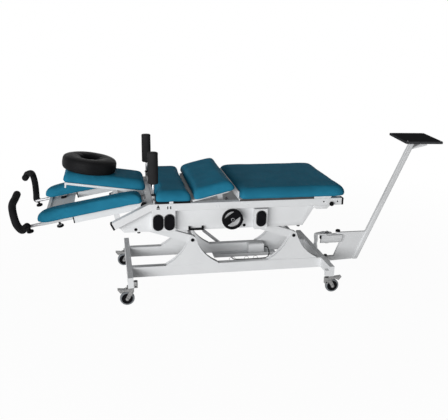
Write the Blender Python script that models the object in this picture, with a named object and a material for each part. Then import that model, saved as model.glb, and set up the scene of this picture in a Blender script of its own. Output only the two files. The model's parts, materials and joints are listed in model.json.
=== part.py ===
"""Motorised traction treatment table, modelled as separate pieces in metres, +Z up.

+X runs along the table from the head end to the traction arm, +Y is the far side and the floor is Z = 0.
Stations along X are measured from the head cross beam; the finished model is then centred on its own box.
"""
import math

import bmesh
import bpy
from mathutils import Matrix, Vector

# Clearances
GAP = 0.0003
PIVOT_CLEARANCE = 0.0005
SLIDE_CLEARANCE = 0.0010
WELD = 0.0015

# Base frame
WHEEL_BASE = 1.151
CROSS_BEAM_LENGTH = 0.651
CROSS_BEAM_WIDTH = 0.030
BEAM_WIDTH = 0.038
BEAM_HEIGHT = 0.060
BEAM_TOP = 0.172
LONG_BEAM_OFFSET = 0.160
STOP_TAB = (0.022, 0.022, 0.036)

# Casters
WHEEL_RADIUS = 0.040
WHEEL_WIDTH = 0.026
TREAD_CROWN = 0.004
WHEEL_BOSS_RADII = (0.0119, 0.0158)
WHEEL_HUB_RADII = (0.0264, 0.0280)
HUB_RECESS = 0.004
AXLE_RADIUS = 0.005
CASTER_TRAIL = 0.020
CASTER_END_INSET = 0.0365
FORK_PLATE = 0.003
FORK_CLEARANCE = 0.0015
FORK_HEAD_HEIGHT = 0.012
FORK_CROWN_LENGTH = 0.0352
FORK_TOE_RADIUS = 0.0105
FORK_NOTCH = 0.008
SWIVEL_RADIUS = 0.022
PEDAL_LENGTH = 0.050
PEDAL_WIDTH = 0.028
PEDAL_PLATE = 0.004
PEDAL_SKIRT = (0.016, 0.018)
PEDAL_PIN_RADIUS = 0.004

# Lift pylons and lift arms
PYLON_BASE = 0.300
PYLON_PLATE = 0.006
PYLON_FOOT = 0.006
PYLON_APEX_RADIUS = 0.022
PYLON_FLANK_SAG = 0.020
HEAD_PIN_X = 0.358
PIN_SPACING = 0.598
PIN_HEIGHT = 0.322
LIFT_REACH = 0.3214
LIFT_RISE = 0.1087
LIFT_ARM_DEPTH = 0.046
LIFT_ARM_WIDTH = 0.022
LIFT_TUBE_RADIUS = 0.016
LIFT_TUBE_SHARE = 0.45
SHAFT_RADIUS = 0.010
SHAFT_END = 0.0025

# Lift actuator
ACTUATOR_Y = 0.205
ACTUATOR_FOOT_X = 0.603
ACTUATOR_FOOT_Z = 0.139
ACTUATOR_TOP_X = 0.305
ACTUATOR_TOP_Z = 0.392
ACTUATOR_TUBE_RADIUS = 0.010
ACTUATOR_ROD_RADIUS = 0.006
ACTUATOR_BORE_WALL = 0.003
ACTUATOR_NECK = 0.012
ACTUATOR_TUBE_LENGTH = 0.160
ACTUATOR_ROD_INSIDE = 0.090
ACTUATOR_EYE_RADIUS = 0.016
ACTUATOR_EYE_WIDTH = 0.018
ACTUATOR_BRACKET = 0.006
CLEVIS_CHEEK = 0.005
CLEVIS_SIDE_PLAY = 0.002

# Controls shelf on the far beam
SHELF_X = (0.526, 0.930)
SHELF_DEPTH = 0.090
SHELF_PLATE = 0.003
SHELF_LIP = 0.018
SHELF_Z = 0.115
CONTROL_BOX = (0.100, 0.066, 0.062)
CONTROL_BOX_CORNER = 0.004
CONTROL_BOX_X = 0.800
LEAD_RADIUS = 0.003
LEAD_ROUTE = [
    (0.851, 0.108, 0.149),
    (0.865, 0.108, 0.149),
    (0.875, 0.088, 0.151),
    (0.875, 0.053, 0.141),
    (0.873, 0.042, 0.121),
    (0.863, 0.042, 0.105),
    (0.841, 0.043, 0.099),
    (0.800, 0.043, 0.098),
    (0.722, 0.044, 0.097),
    (0.663, 0.047, 0.098),
    (0.645, 0.061, 0.099),
    (0.643, 0.121, 0.099),
    (0.643, 0.175, 0.100),
    (0.643, 0.186, 0.107),
    (0.641, 0.188, 0.129),
]

# Upper frame
RAIL_TOP = 0.580
RAIL_SIZE = 0.040
RAIL_OUTER_Y = 0.310
RAIL_END_X = 1.184
SLANT_ANGLE = math.radians(26.5)
SLANT_END_X = -0.081
SLANT_END_Z = 0.4645
PANEL_PLATE = 0.006
PANEL_BOTTOM = 0.415
PANEL_LEFT_X = -0.025
PANEL_RIGHT_X = (0.975, 1.050)
PANEL_NOSE = (-0.060, 0.452)
SWITCH_BOX_BOTTOM = 0.425
HEAD_SWITCH_BOX_X = (0.121, 0.248)
FOOT_SWITCH_BOX_X = (0.684, 0.757)
FOOT_SWITCH_BOX_TOP = 0.532
MID_TUBE_SIZE = 0.030
FOOT_TUBE_X = 1.160
FOOT_TUBE_SIZE = 0.030

# Rocker switches
SWITCH_WIDTH = 0.050
SWITCH_HEIGHT = 0.086
SWITCH_DEPTH = 0.010
SWITCH_GAP = 0.0030
SWITCH_CORNER = 0.003
SWITCH_FACE_INSET = 0.0075
HEAD_SWITCH_X = (0.154, 0.2145)
FOOT_SWITCH_X = 0.7205
SWITCH_Z = 0.478

# Handwheel, gearbox and small controls
HANDWHEEL_X = 0.557
HANDWHEEL_Z = 0.484
HANDWHEEL_RADIUS = 0.0575
HANDWHEEL_RIM = 0.0125
HANDWHEEL_THICKNESS = 0.014
HANDWHEEL_FACE_Y = 0.3265
HANDWHEEL_HUB_RADIUS = 0.014
HANDWHEEL_SHAFT_RADIUS = 0.009
HANDWHEEL_BAR_LOW = 0.012
HANDWHEEL_BAR_HIGH = 0.027
HANDWHEEL_BAR_ANGLE = math.radians(35.0)
CRANK_PIN_RADIUS = 0.006
CRANK_PIN_LENGTH = 0.009
GEARBOX = (0.090, 0.064, 0.080)
GEARBOX_CORNER = 0.0075
HANDLE_X = (0.321, 0.404)
HANDLE_BAR = 0.010
HANDLE_PIVOT_Z = 0.434
HANDLE_STANDOFF = 0.0075
HANDLE_REACH = 0.017
HANDLE_DROP = 0.014
PLUNGER_X = 1.121
PLUNGER_Z = 0.550
PLUNGER_RADIUS = 0.0125
PLUNGER_TIP_RADIUS = 0.0106
PLUNGER_HEAD = 0.014
PLUNGER_NECK_RADIUS = 0.007
PLUNGER_NECK = 0.004

# Upholstered sections
PAD_WIDTH = 0.662
PAD_BOTTOM = 0.595
PAD_THICKNESS = 0.055
PAD_CORNER = 0.024
PAD_EDGE = 0.018
BOARD_INSET = 0.030
THORAX_X = (0.143, 0.330)
LUMBAR_HINGE_X = 0.345
LUMBAR_HINGE_Z = 0.572
LUMBAR_X = (0.0112, 0.2360)
LUMBAR_TILT = math.radians(13.5)
LUMBAR_PLATE = 0.010
LUMBAR_BARREL_RADIUS = 0.008
QUADRANT_RADII = (0.150, 0.180)
QUADRANT_ANGLES = (math.radians(-60.0), math.radians(4.0))
QUADRANT_PLATE = 0.008
LEG_X = (0.600, 1.205)
LEG_CORNER = 0.060
LEG_PLATE = 0.008
LEG_PLATE_END = 1.120
LEG_RUNNER_WIDTH = 0.030
LEG_FLANGE = 0.006
LEG_FLANGE_TOP = 0.628

# Head section
HEAD_AXIS_X = 0.085
HEAD_AXIS_Z = 0.562
HEAD_TUBE_RADIUS = 0.0125
HEAD_TILT = math.radians(8.26)
HEAD_PAD_X = (-0.4360, 0.0079)
HEAD_PAD_RISE = 0.0481
HEAD_PAD_WIDTH = 0.300
HEAD_PAD_CORNER = 0.030
HEAD_PLATE = 0.012
HEAD_PLATE_INSET = 0.010
HEAD_LUG_OFFSET = 0.090
HEAD_LUG_WIDTH = 0.012
HEAD_LUG_RADIUS = 0.021
HEAD_TAB = (0.010, 0.030)
FACE_RING_RADIUS = 0.152
FACE_RING_HOLE = 0.046
FACE_RING_HEIGHT = 0.074
FACE_RING_X = -0.298
FACE_RING_POINTS = 12
FACE_RING_TOP_ROUND = 0.45
FACE_RING_BASE_ROUND = 0.35

# Arm rests
ARM_TILT = math.radians(-10.2)
ARM_PAD_X = (-0.5575, -0.0058)
ARM_PAD_RISE = 0.0356
ARM_PAD_WIDTH = 0.124
ARM_PAD_THICKNESS = 0.047
ARM_PAD_EDGE = 0.016
ARM_PAD_HEEL = 0.030
ARM_BOARD = 0.010
ARM_OFFSET = 0.240
ARM_RAIL_OFFSET = 0.2435
ARM_RAIL_WIDTH = 0.038
ARM_RAIL_HEIGHT = 0.042
ARM_RAIL_WALL = 0.003
ARM_RAIL_END = -0.374
ARM_RAIL_HOLLOW = 0.270
ARM_LUG_RADIUS = 0.019
ARM_STOP_X = (-0.168, -0.140)
ARM_STOP_DROP = 0.048
ARM_STOP_PLATE = 0.006
CARRIAGE_TUBE_RADIUS = 0.010
CARRIAGE_AXIS_N = 0.0105
CARRIAGE_X = (-0.545, -0.190)
BRIDGE_X = (-0.520, -0.385)
BRIDGE_PLATE = 0.005
BRIDGE_BAR = 0.016
ARM_KNOB_X = -0.452
KNOB_RADIUS = 0.016
KNOB_TOP_RADIUS = 0.0128
KNOB_HEAD = 0.012
KNOB_STEM_RADIUS = 0.005
KNOB_STEM = 0.014

# Hand grips
GRIP_TUBE_RADIUS = 0.008
GRIP_TUBE_X = (-0.622, -0.430)
GRIP_FOAM_RADIUS = 0.019
GRIP_KNOB_X = -0.609
GRIP_PATH = [
    (-0.519, 0.2435, 0.470),
    (-0.530, 0.272, 0.468),
    (-0.538, 0.345, 0.480),
    (-0.550, 0.418, 0.535),
    (-0.563, 0.412, 0.590),
    (-0.577, 0.325, 0.609),
    (-0.574, 0.240, 0.617),
    (-0.572, 0.165, 0.624),
]

# Armpit posts
POST_X = 0.1335
POST_INSET = 0.063
POST_BAR = (0.008, 0.020)
POST_BLOCK = (0.016, 0.030, 0.038)
POST_ROD_RADIUS = 0.0065
POST_ROLL_RADIUS = 0.0275
POST_ROLL_Z = (0.683, 0.852)
POST_ROLL_EDGE = 0.004

# Traction arm
SWING_X = 1.232
SWING_PIN_RADIUS = 0.0055
SWING_CAP_RADIUS = 0.010
SWING_CAP = 0.009
BRACKET_PLATE = 0.008
BRACKET_WIDTH = 0.066
BRACKET_NOSE = 0.030
BRACKET_CORNER = 0.024
BRACKET_WAIST = 0.012
BRACKET_Z = (0.066, 0.263)
KNUCKLE_RADIUS = 0.016
KNUCKLE_LENGTHS = (0.034, 0.057)
ARM_PLATE_THICKNESS = 0.016
ARM_PLATE_START = 0.027
ARM_PLATE_RISE = 0.009
ARM_PLATE_SHOULDER = 0.062
ARM_WINDOW_X = (1.286, 1.320)
ARM_PLATE_TOP = 0.263
MAST_FOOT = (1.427, 0.083)
MAST_TOP = (1.744, 0.837)
MAST_SIZE = 0.030
MAST_CAP = 0.006
MAST_CAP_X = (1.690, 1.842)
MAST_CAP_WIDTH = 0.070
MAST_RIB = (0.052, 0.031)
STUB_REACH = (0.046, 0.090)
STUB_SIZE = 0.022
STUB_TROUGH = 0.034
SWING_KNOB_X = 1.303
SWING_KNOB_RADIUS = 0.014
SWING_KNOB_HEIGHT = 0.016
TRAY = (0.226, 0.298, 0.015)
TRAY_CENTRE_X = 1.758
TRAY_TURN = math.radians(-6.5)
TRAY_CORNER = 0.008

# Facet counts
ROUND = 24
SMALL_ROUND = 16
CORNER_STEPS = 4
EDGE_STEPS = 3
FLANK_STEPS = 6
SPAN_STEPS = 4
TUBE_RESOLUTION = 3
LEAD_SPAN_STEPS = 3
LEAD_RESOLUTION = 2
SHARP_ANGLE = math.radians(35.0)
NEARLY_UPRIGHT = 0.9

# Colours: base colour, roughness, metallic
WHITE_PAINT = ((0.80, 0.81, 0.82), 0.35, 0.0)
TEAL_VINYL = ((0.020, 0.165, 0.245), 0.50, 0.0)
BLACK_FOAM = ((0.012, 0.012, 0.013), 0.75, 0.0)
BLACK_PLASTIC = ((0.015, 0.015, 0.016), 0.45, 0.0)
BLACK_RUBBER = ((0.012, 0.012, 0.012), 0.80, 0.0)
GREY_RUBBER = ((0.42, 0.43, 0.43), 0.70, 0.0)
BARE_STEEL = ((0.55, 0.55, 0.56), 0.30, 1.0)
GREY_STEEL = ((0.36, 0.36, 0.36), 0.40, 0.8)

SIDES = (("near", -1), ("far", 1))
ENDS = (("head", 0.0, -1), ("foot", WHEEL_BASE, 1))


def mesh_from(vertices, faces):
    """A closed mesh with its faces turned outwards."""
    mesh = bpy.data.meshes.new("shape")
    mesh.from_pydata([tuple(v) for v in vertices], [], faces)
    shape = bmesh.new()
    shape.from_mesh(mesh)
    bmesh.ops.recalc_face_normals(shape, faces=shape.faces)
    shape.to_mesh(mesh)
    shape.free()
    return mesh


def stacked(rings):
    """Skin equal rings of points and close both ends."""
    count = len(rings[0])
    vertices = [point for ring in rings for point in ring]
    faces = []
    for level in range(len(rings) - 1):
        for i in range(count):
            j = (i + 1) % count
            low = level * count
            faces.append((low + i, low + j, low + count + j, low + count + i))
    faces.append(tuple(range(count))[::-1])
    faces.append(tuple(range(len(vertices) - count, len(vertices))))
    return mesh_from(vertices, faces)


def box(x, y, z):
    low = [(x[0], y[0], z[0]), (x[1], y[0], z[0]), (x[1], y[1], z[0]), (x[0], y[1], z[0])]
    high = [(px, py, z[1]) for px, py, _ in low]
    return stacked([low, high])


def middle(centre, size):
    """The two ends of a length centred on a point."""
    return (centre - size / 2, centre + size / 2)


def side_range(side, inner, outer):
    """A range of Y on the near (-1) or far (+1) side."""
    return tuple(sorted((side * inner, side * outer)))


def prism_y(outline, y):
    """An outline in X and Z, extruded along Y."""
    return stacked([[(px, level, pz) for px, pz in outline] for level in y])


def prism_z(outline, z):
    """An outline in X and Y, extruded along Z."""
    return stacked([[(px, py, level) for px, py in outline] for level in z])


def arc(centre, radius, start, end, steps):
    """Points along an arc, both ends included."""
    turn = [start + (end - start) * i / steps for i in range(steps + 1)]
    return [(centre[0] + radius * math.cos(a), centre[1] + radius * math.sin(a)) for a in turn]


def rounded_plan(x, y, left, right):
    """A rectangle with its own corner radius at each end."""
    quarter = math.pi / 2
    corners = [
        ((x[1] - right, y[1] - right), right, 0.0),
        ((x[0] + left, y[1] - left), left, quarter),
        ((x[0] + left, y[0] + left), left, 2 * quarter),
        ((x[1] - right, y[0] + right), right, 3 * quarter),
    ]
    points = []
    for centre, radius, start in corners:
        points += arc(centre, radius, start, start + quarter, CORNER_STEPS)
    return points


def pad(x, y, z, left, right, edge):
    """A cushion: rounded plan, softly rounded top edge and slightly tucked bottom edge."""
    tuck = edge / 3
    levels = [(z[0], tuck), (z[0] + tuck, 0.0), (z[1] - edge, 0.0)]
    for i in range(1, EDGE_STEPS + 1):
        angle = i / EDGE_STEPS * math.pi / 2
        levels.append((z[1] - edge + edge * math.sin(angle), edge * (1 - math.cos(angle))))
    rings = []
    for height, inset in levels:
        plan = rounded_plan(
            (x[0] + inset, x[1] - inset), (y[0] + inset, y[1] - inset), left - inset, right - inset)
        rings.append([(px, py, height) for px, py in plan])
    return stacked(rings)


def cylinder(start, end, radius, sides=ROUND, top_radius=None):
    """A round bar between two points, with a facet facing straight down."""
    start = Vector(start)
    end = Vector(end)
    along = (end - start).normalized()
    helper = Vector((0, 0, 1)) if abs(along.z) < NEARLY_UPRIGHT else Vector((1, 0, 0))
    across = along.cross(helper).normalized()
    up = across.cross(along)
    end_radius = radius if top_radius is None else top_radius
    rings = []
    for centre, size in ((start, radius), (end, end_radius)):
        reach = size / math.cos(math.pi / sides)
        ring = []
        for i in range(sides):
            angle = 2 * math.pi * (i + 0.5) / sides
            ring.append(centre + (across * math.sin(angle) + up * math.cos(angle)) * reach)
        rings.append(ring)
    return stacked(rings)


def turned(profile, centre, axis, sides=ROUND):
    """A ring turned about an axis through a point; the profile is (radius, height) pairs."""
    along = Vector(axis).normalized()
    helper = Vector((0, 0, 1)) if abs(along.z) < NEARLY_UPRIGHT else Vector((1, 0, 0))
    across = along.cross(helper).normalized()
    up = across.cross(along)
    vertices = []
    for i in range(sides):
        angle = 2 * math.pi * (i + 0.5) / sides
        out = across * math.sin(angle) + up * math.cos(angle)
        vertices += [Vector(centre) + out * (r / math.cos(math.pi / sides)) + along * h for r, h in profile]
    count = len(profile)
    faces = []
    for i in range(sides):
        j = (i + 1) % sides
        for k in range(count):
            n = (k + 1) % count
            faces.append((i * count + k, j * count + k, j * count + n, i * count + n))
    return mesh_from(vertices, faces)


def smooth_path(points, per_span):
    """Points along a smooth curve through the given ones."""
    path = [Vector(p) for p in points]
    ends = [2 * path[0] - path[1]] + path + [2 * path[-1] - path[-2]]
    result = []
    for a, b, c, d in zip(ends, ends[1:], ends[2:], ends[3:]):
        for step in range(per_span):
            t = step / per_span
            result.append(0.5 * (2 * b + (c - a) * t + (2 * a - 5 * b + 4 * c - d) * t ** 2
                                 + (3 * b - a - 3 * c + d) * t ** 3))
    return result + [path[-1]]


def tube_curve(name, points, radius, resolution):
    """A curve with a round bevel and filled ends."""
    curve = bpy.data.curves.new(name, "CURVE")
    curve.dimensions = "3D"
    curve.bevel_depth = radius
    curve.bevel_resolution = resolution
    curve.use_fill_caps = True
    spline = curve.splines.new("POLY")
    spline.points.add(len(points) - 1)
    for target, point in zip(spline.points, points):
        target.co = (*point, 1.0)
    return curve


def tube(points, radius, resolution):
    """The mesh of a round tube along a path."""
    curve = tube_curve("tube_guide", points, radius, resolution)
    guide = bpy.data.objects.new("tube_guide", curve)
    bpy.context.collection.objects.link(guide)
    graph = bpy.context.evaluated_depsgraph_get()
    mesh = bpy.data.meshes.new_from_object(guide.evaluated_get(graph))
    bpy.data.objects.remove(guide)
    shape = bmesh.new()
    shape.from_mesh(mesh)
    bmesh.ops.remove_doubles(shape, verts=shape.verts, dist=1e-6)
    bmesh.ops.recalc_face_normals(shape, faces=shape.faces)
    shape.to_mesh(mesh)
    shape.free()
    return mesh


def combined(operation, body, others):
    """The Boolean of a mesh with several others, one after the other."""
    host = bpy.data.objects.new("boolean_host", body)
    bpy.context.collection.objects.link(host)
    tools = []
    for other in others:
        tool = bpy.data.objects.new("boolean_tool", other)
        tool.hide_render = True
        tool.display_type = "WIRE"
        bpy.context.collection.objects.link(tool)
        tools.append(tool)
        modifier = host.modifiers.new("combine", "BOOLEAN")
        modifier.operation = operation
        modifier.solver = "EXACT"
        modifier.object = tool
    graph = bpy.context.evaluated_depsgraph_get()
    result = bpy.data.meshes.new_from_object(host.evaluated_get(graph))
    for item in [host] + tools:
        bpy.data.objects.remove(item)
    return result


def fuse(body, *others):
    return combined("UNION", body, others)


def cut(body, *others):
    return combined("DIFFERENCE", body, others)


def turned_about(mesh, angle, x, z):
    """Turn a mesh about an axis along Y; a positive angle lifts the -X side."""
    pivot = Matrix.Translation((x, 0, z))
    mesh.transform(pivot @ Matrix.Rotation(angle, 4, "Y") @ pivot.inverted())
    return mesh


def material(name, look):
    colour, roughness, metallic = look
    surface = bpy.data.materials.new(name)
    surface.use_nodes = True
    shader = surface.node_tree.nodes["Principled BSDF"]
    shader.inputs["Base Color"].default_value = (*colour, 1.0)
    shader.inputs["Roughness"].default_value = roughness
    shader.inputs["Metallic"].default_value = metallic
    return surface


def add_piece(name, shape, look, pivot=(0, 0, 0)):
    """One named object, with its origin on its joint's axis."""
    if isinstance(shape, bpy.types.Mesh):
        shape.transform(Matrix.Translation(-Vector(pivot)))
        shape.shade_smooth()
        shape.set_sharp_from_angle(angle=SHARP_ANGLE)
    shape.name = name
    piece = bpy.data.objects.new(name, shape)
    shape.materials.clear()
    shape.materials.append(material(name, look))
    piece.location = pivot
    piece.parent = TABLE
    bpy.context.collection.objects.link(piece)
    return piece


# Places worked out from the driving dimensions
BEAM_BOTTOM = BEAM_TOP - BEAM_HEIGHT
FOOT_PIN_X = HEAD_PIN_X + PIN_SPACING
HEAD_UPPER_X = HEAD_PIN_X - LIFT_REACH
UPPER_PIN_Z = PIN_HEIGHT + LIFT_RISE
ARM_PLATE_Z = (BRACKET_Z[0] + BRACKET_PLATE + GAP, BRACKET_Z[1] - BRACKET_PLATE - GAP)
LOWER_KNUCKLE_Z = (ARM_PLATE_Z[0], ARM_PLATE_Z[0] + KNUCKLE_LENGTHS[0])
UPPER_KNUCKLE_Z = (ARM_PLATE_Z[1] - KNUCKLE_LENGTHS[1], ARM_PLATE_Z[1])
LONG_OUTER_Y = LONG_BEAM_OFFSET + BEAM_WIDTH / 2
LONG_INNER_Y = LONG_BEAM_OFFSET - BEAM_WIDTH / 2
RAIL_INNER_Y = RAIL_OUTER_Y - RAIL_SIZE
RAIL_BOTTOM = RAIL_TOP - RAIL_SIZE
PANEL_OUTER_Y = RAIL_INNER_Y - GAP
PANEL_INNER_Y = PANEL_OUTER_Y - PANEL_PLATE
CASTER_Y = CROSS_BEAM_LENGTH / 2 - CASTER_END_INSET
PAD_TOP = PAD_BOTTOM + PAD_THICKNESS
HALF_PAD = PAD_WIDTH / 2
HEAD_PAD_BOTTOM = HEAD_AXIS_Z + HEAD_PAD_RISE
ARM_PAD_BOTTOM = HEAD_AXIS_Z + ARM_PAD_RISE
ARM_RAIL_TOP = ARM_PAD_BOTTOM - ARM_BOARD - GAP
CARRIAGE_Z = HEAD_AXIS_Z + CARRIAGE_AXIS_N
FACE_RING_BOTTOM = HEAD_PAD_BOTTOM + PAD_THICKNESS + GAP
POST_BAR_BOTTOM = RAIL_TOP + GAP
POST_BAR_TOP = POST_BAR_BOTTOM + POST_BAR[1]
POST_OFFSET = HALF_PAD - POST_INSET
TRAY_BOTTOM = MAST_TOP[1] + MAST_CAP + GAP


def pylon(side, pin_x):
    """A clevis of two plates with hollow flanks, standing on a foot plate on the long beam."""
    base_z = BEAM_TOP - WELD
    half = PYLON_BASE / 2
    apex = PYLON_APEX_RADIUS
    foot = Vector((half, base_z + PYLON_FOOT))
    top = Vector((apex, PIN_HEIGHT))
    hollow = (top - foot).orthogonal().normalized() * PYLON_FLANK_SAG
    flank = [(half, base_z)]
    for i in range(FLANK_STEPS):
        share = i / FLANK_STEPS
        flank.append(tuple(foot.lerp(top, share) + hollow * 4 * share * (1 - share)))
    crown = arc((0, PIN_HEIGHT), apex, 0.0, math.pi, 2 * CORNER_STEPS)
    outline = [(pin_x + dx, z) for dx, z in flank + crown]
    outline += [(pin_x - dx, z) for dx, z in reversed(flank)]
    plates = []
    for inner, outer in (
            (LONG_OUTER_Y - PYLON_PLATE, LONG_OUTER_Y - WELD),
            (LONG_INNER_Y + WELD, LONG_INNER_Y + PYLON_PLATE)):
        plates.append(prism_y(outline, side_range(side, inner, outer)))
    return plates


def long_beam(side):
    """A long base beam with its two lift pylons."""
    ends = (CROSS_BEAM_WIDTH / 2 + GAP, WHEEL_BASE - CROSS_BEAM_WIDTH / 2 - GAP)
    beam = box(ends, side_range(side, LONG_INNER_Y, LONG_OUTER_Y), (BEAM_BOTTOM, BEAM_TOP))
    parts = pylon(side, HEAD_PIN_X) + pylon(side, FOOT_PIN_X)
    if side > 0:
        parts += controls_shelf() + actuator_foot()
    beam = fuse(beam, *parts)
    reach = side_range(side, LONG_INNER_Y - BEAM_WIDTH, LONG_OUTER_Y + BEAM_WIDTH)
    bores = []
    for pin_x in (HEAD_PIN_X, FOOT_PIN_X):
        bores.append(cylinder((pin_x, reach[0], PIN_HEIGHT), (pin_x, reach[1], PIN_HEIGHT),
                              SHAFT_RADIUS + PIVOT_CLEARANCE, SMALL_ROUND))
    return cut(beam, *bores)


def controls_shelf():
    """The tray on the inner side of the far beam."""
    y = (LONG_INNER_Y - SHELF_DEPTH, LONG_INNER_Y + WELD)
    plate = box(SHELF_X, y, (SHELF_Z, SHELF_Z + SHELF_PLATE))
    lip = box(SHELF_X, (y[0], y[0] + SHELF_PLATE), (SHELF_Z - WELD, SHELF_Z + SHELF_LIP))
    return [plate, lip]


def clevis(x, z, base_z):
    """Two cheeks either side of an actuator eye."""
    half_gap = ACTUATOR_EYE_WIDTH / 2 + CLEVIS_SIDE_PLAY
    outline = clevis_outline(x, z, base_z)
    cheeks = []
    for _, side in SIDES:
        y = side_range(side, half_gap, half_gap + CLEVIS_CHEEK)
        cheeks.append(prism_y(outline, (ACTUATOR_Y + y[0], ACTUATOR_Y + y[1])))
    return cheeks


def actuator_foot():
    """The bracket on the outer side of the far beam that the actuator stands on."""
    outer = ACTUATOR_Y + ACTUATOR_EYE_WIDTH / 2 + CLEVIS_SIDE_PLAY + CLEVIS_CHEEK
    low = BEAM_BOTTOM + GAP
    length = 2 * ACTUATOR_EYE_RADIUS + 2 * WELD
    shelf = box(middle(ACTUATOR_FOOT_X, length), (LONG_OUTER_Y - WELD, outer + WELD),
                (low, low + ACTUATOR_BRACKET))
    return [shelf] + clevis(ACTUATOR_FOOT_X, ACTUATOR_FOOT_Z, low + ACTUATOR_BRACKET - WELD)


def clevis_outline(x, z, base_z):
    """A cheek with a round end about a pin, standing on or hanging from a base height."""
    turn = 0.0 if base_z < z else math.pi
    crown = arc((x, z), ACTUATOR_EYE_RADIUS, turn, turn + math.pi, 2 * CORNER_STEPS)
    return crown + [(crown[-1][0], base_z), (crown[0][0], base_z)]


def cross_beam(x, inward):
    """A cross beam with a stop tab beside its near caster; inward is the side that the tab is on."""
    half = CROSS_BEAM_LENGTH / 2
    beam = box(middle(x, CROSS_BEAM_WIDTH), (-half, half), (BEAM_BOTTOM, BEAM_TOP))
    length, width, height = STOP_TAB
    face = x + inward * CROSS_BEAM_WIDTH / 2
    tab_x = tuple(sorted((face - inward * WELD, face + inward * length)))
    tab_z = (BEAM_BOTTOM + WELD, BEAM_BOTTOM + WELD + height)
    return fuse(beam, box(tab_x, (-half, -half + width), tab_z))


def foot_cross_beam():
    """The foot cross beam with the bent bracket and the two pins that the traction arm swings on."""
    face = WHEEL_BASE + CROSS_BEAM_WIDTH / 2 - WELD
    back = face - BRACKET_PLATE
    half = BRACKET_WIDTH / 2
    nose_x = SWING_X + BRACKET_NOSE
    shoulder = SWING_X - BRACKET_NOSE / 2
    root = half - BRACKET_CORNER
    flange = [
        (back, -root), (shoulder, -half), (nose_x, -half / 2),
        (nose_x, half / 2), (shoulder, half), (back, root),
    ]
    low, high = BRACKET_Z
    parts = [
        bracket_back((back + WELD, face), half - WELD, (low + WELD, high - WELD)),
        prism_z(flange, (low, low + BRACKET_PLATE)),
        prism_z(flange, (high - BRACKET_PLATE, high)),
        pin(low + WELD, LOWER_KNUCKLE_Z[1] + GAP + WELD, SWING_PIN_RADIUS),
        pin(LOWER_KNUCKLE_Z[1] + GAP, LOWER_KNUCKLE_Z[1] + GAP + SWING_CAP, SWING_CAP_RADIUS),
        pin(UPPER_KNUCKLE_Z[0] + GAP, high - WELD, SWING_PIN_RADIUS),
        pin(high - WELD, high + SWING_CAP, SWING_CAP_RADIUS),
    ]
    return fuse(cross_beam(WHEEL_BASE, -1), *parts)


def bracket_back(x, half, z):
    """The bracket's upright plate, with a waist above the beam and round top corners."""
    shoulder = z[1] - BRACKET_CORNER
    edge = [(half, z[0])]
    for i in range(FLANK_STEPS + 1):
        share = i / FLANK_STEPS
        draw = BRACKET_WAIST * math.sin(math.pi * share) ** 2
        edge.append((half - draw, BEAM_TOP + (shoulder - BEAM_TOP) * share))
    edge += arc((half - BRACKET_CORNER, shoulder), BRACKET_CORNER, 0.0, math.pi / 2, CORNER_STEPS)[1:]
    outline = edge + [(-py, pz) for py, pz in reversed(edge)]
    return stacked([[(level, py, pz) for py, pz in outline] for level in x])


def pin(low, high, radius):
    """An upright round bar on the swing axis."""
    return cylinder((SWING_X, 0, low), (SWING_X, 0, high), radius, SMALL_ROUND)


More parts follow.
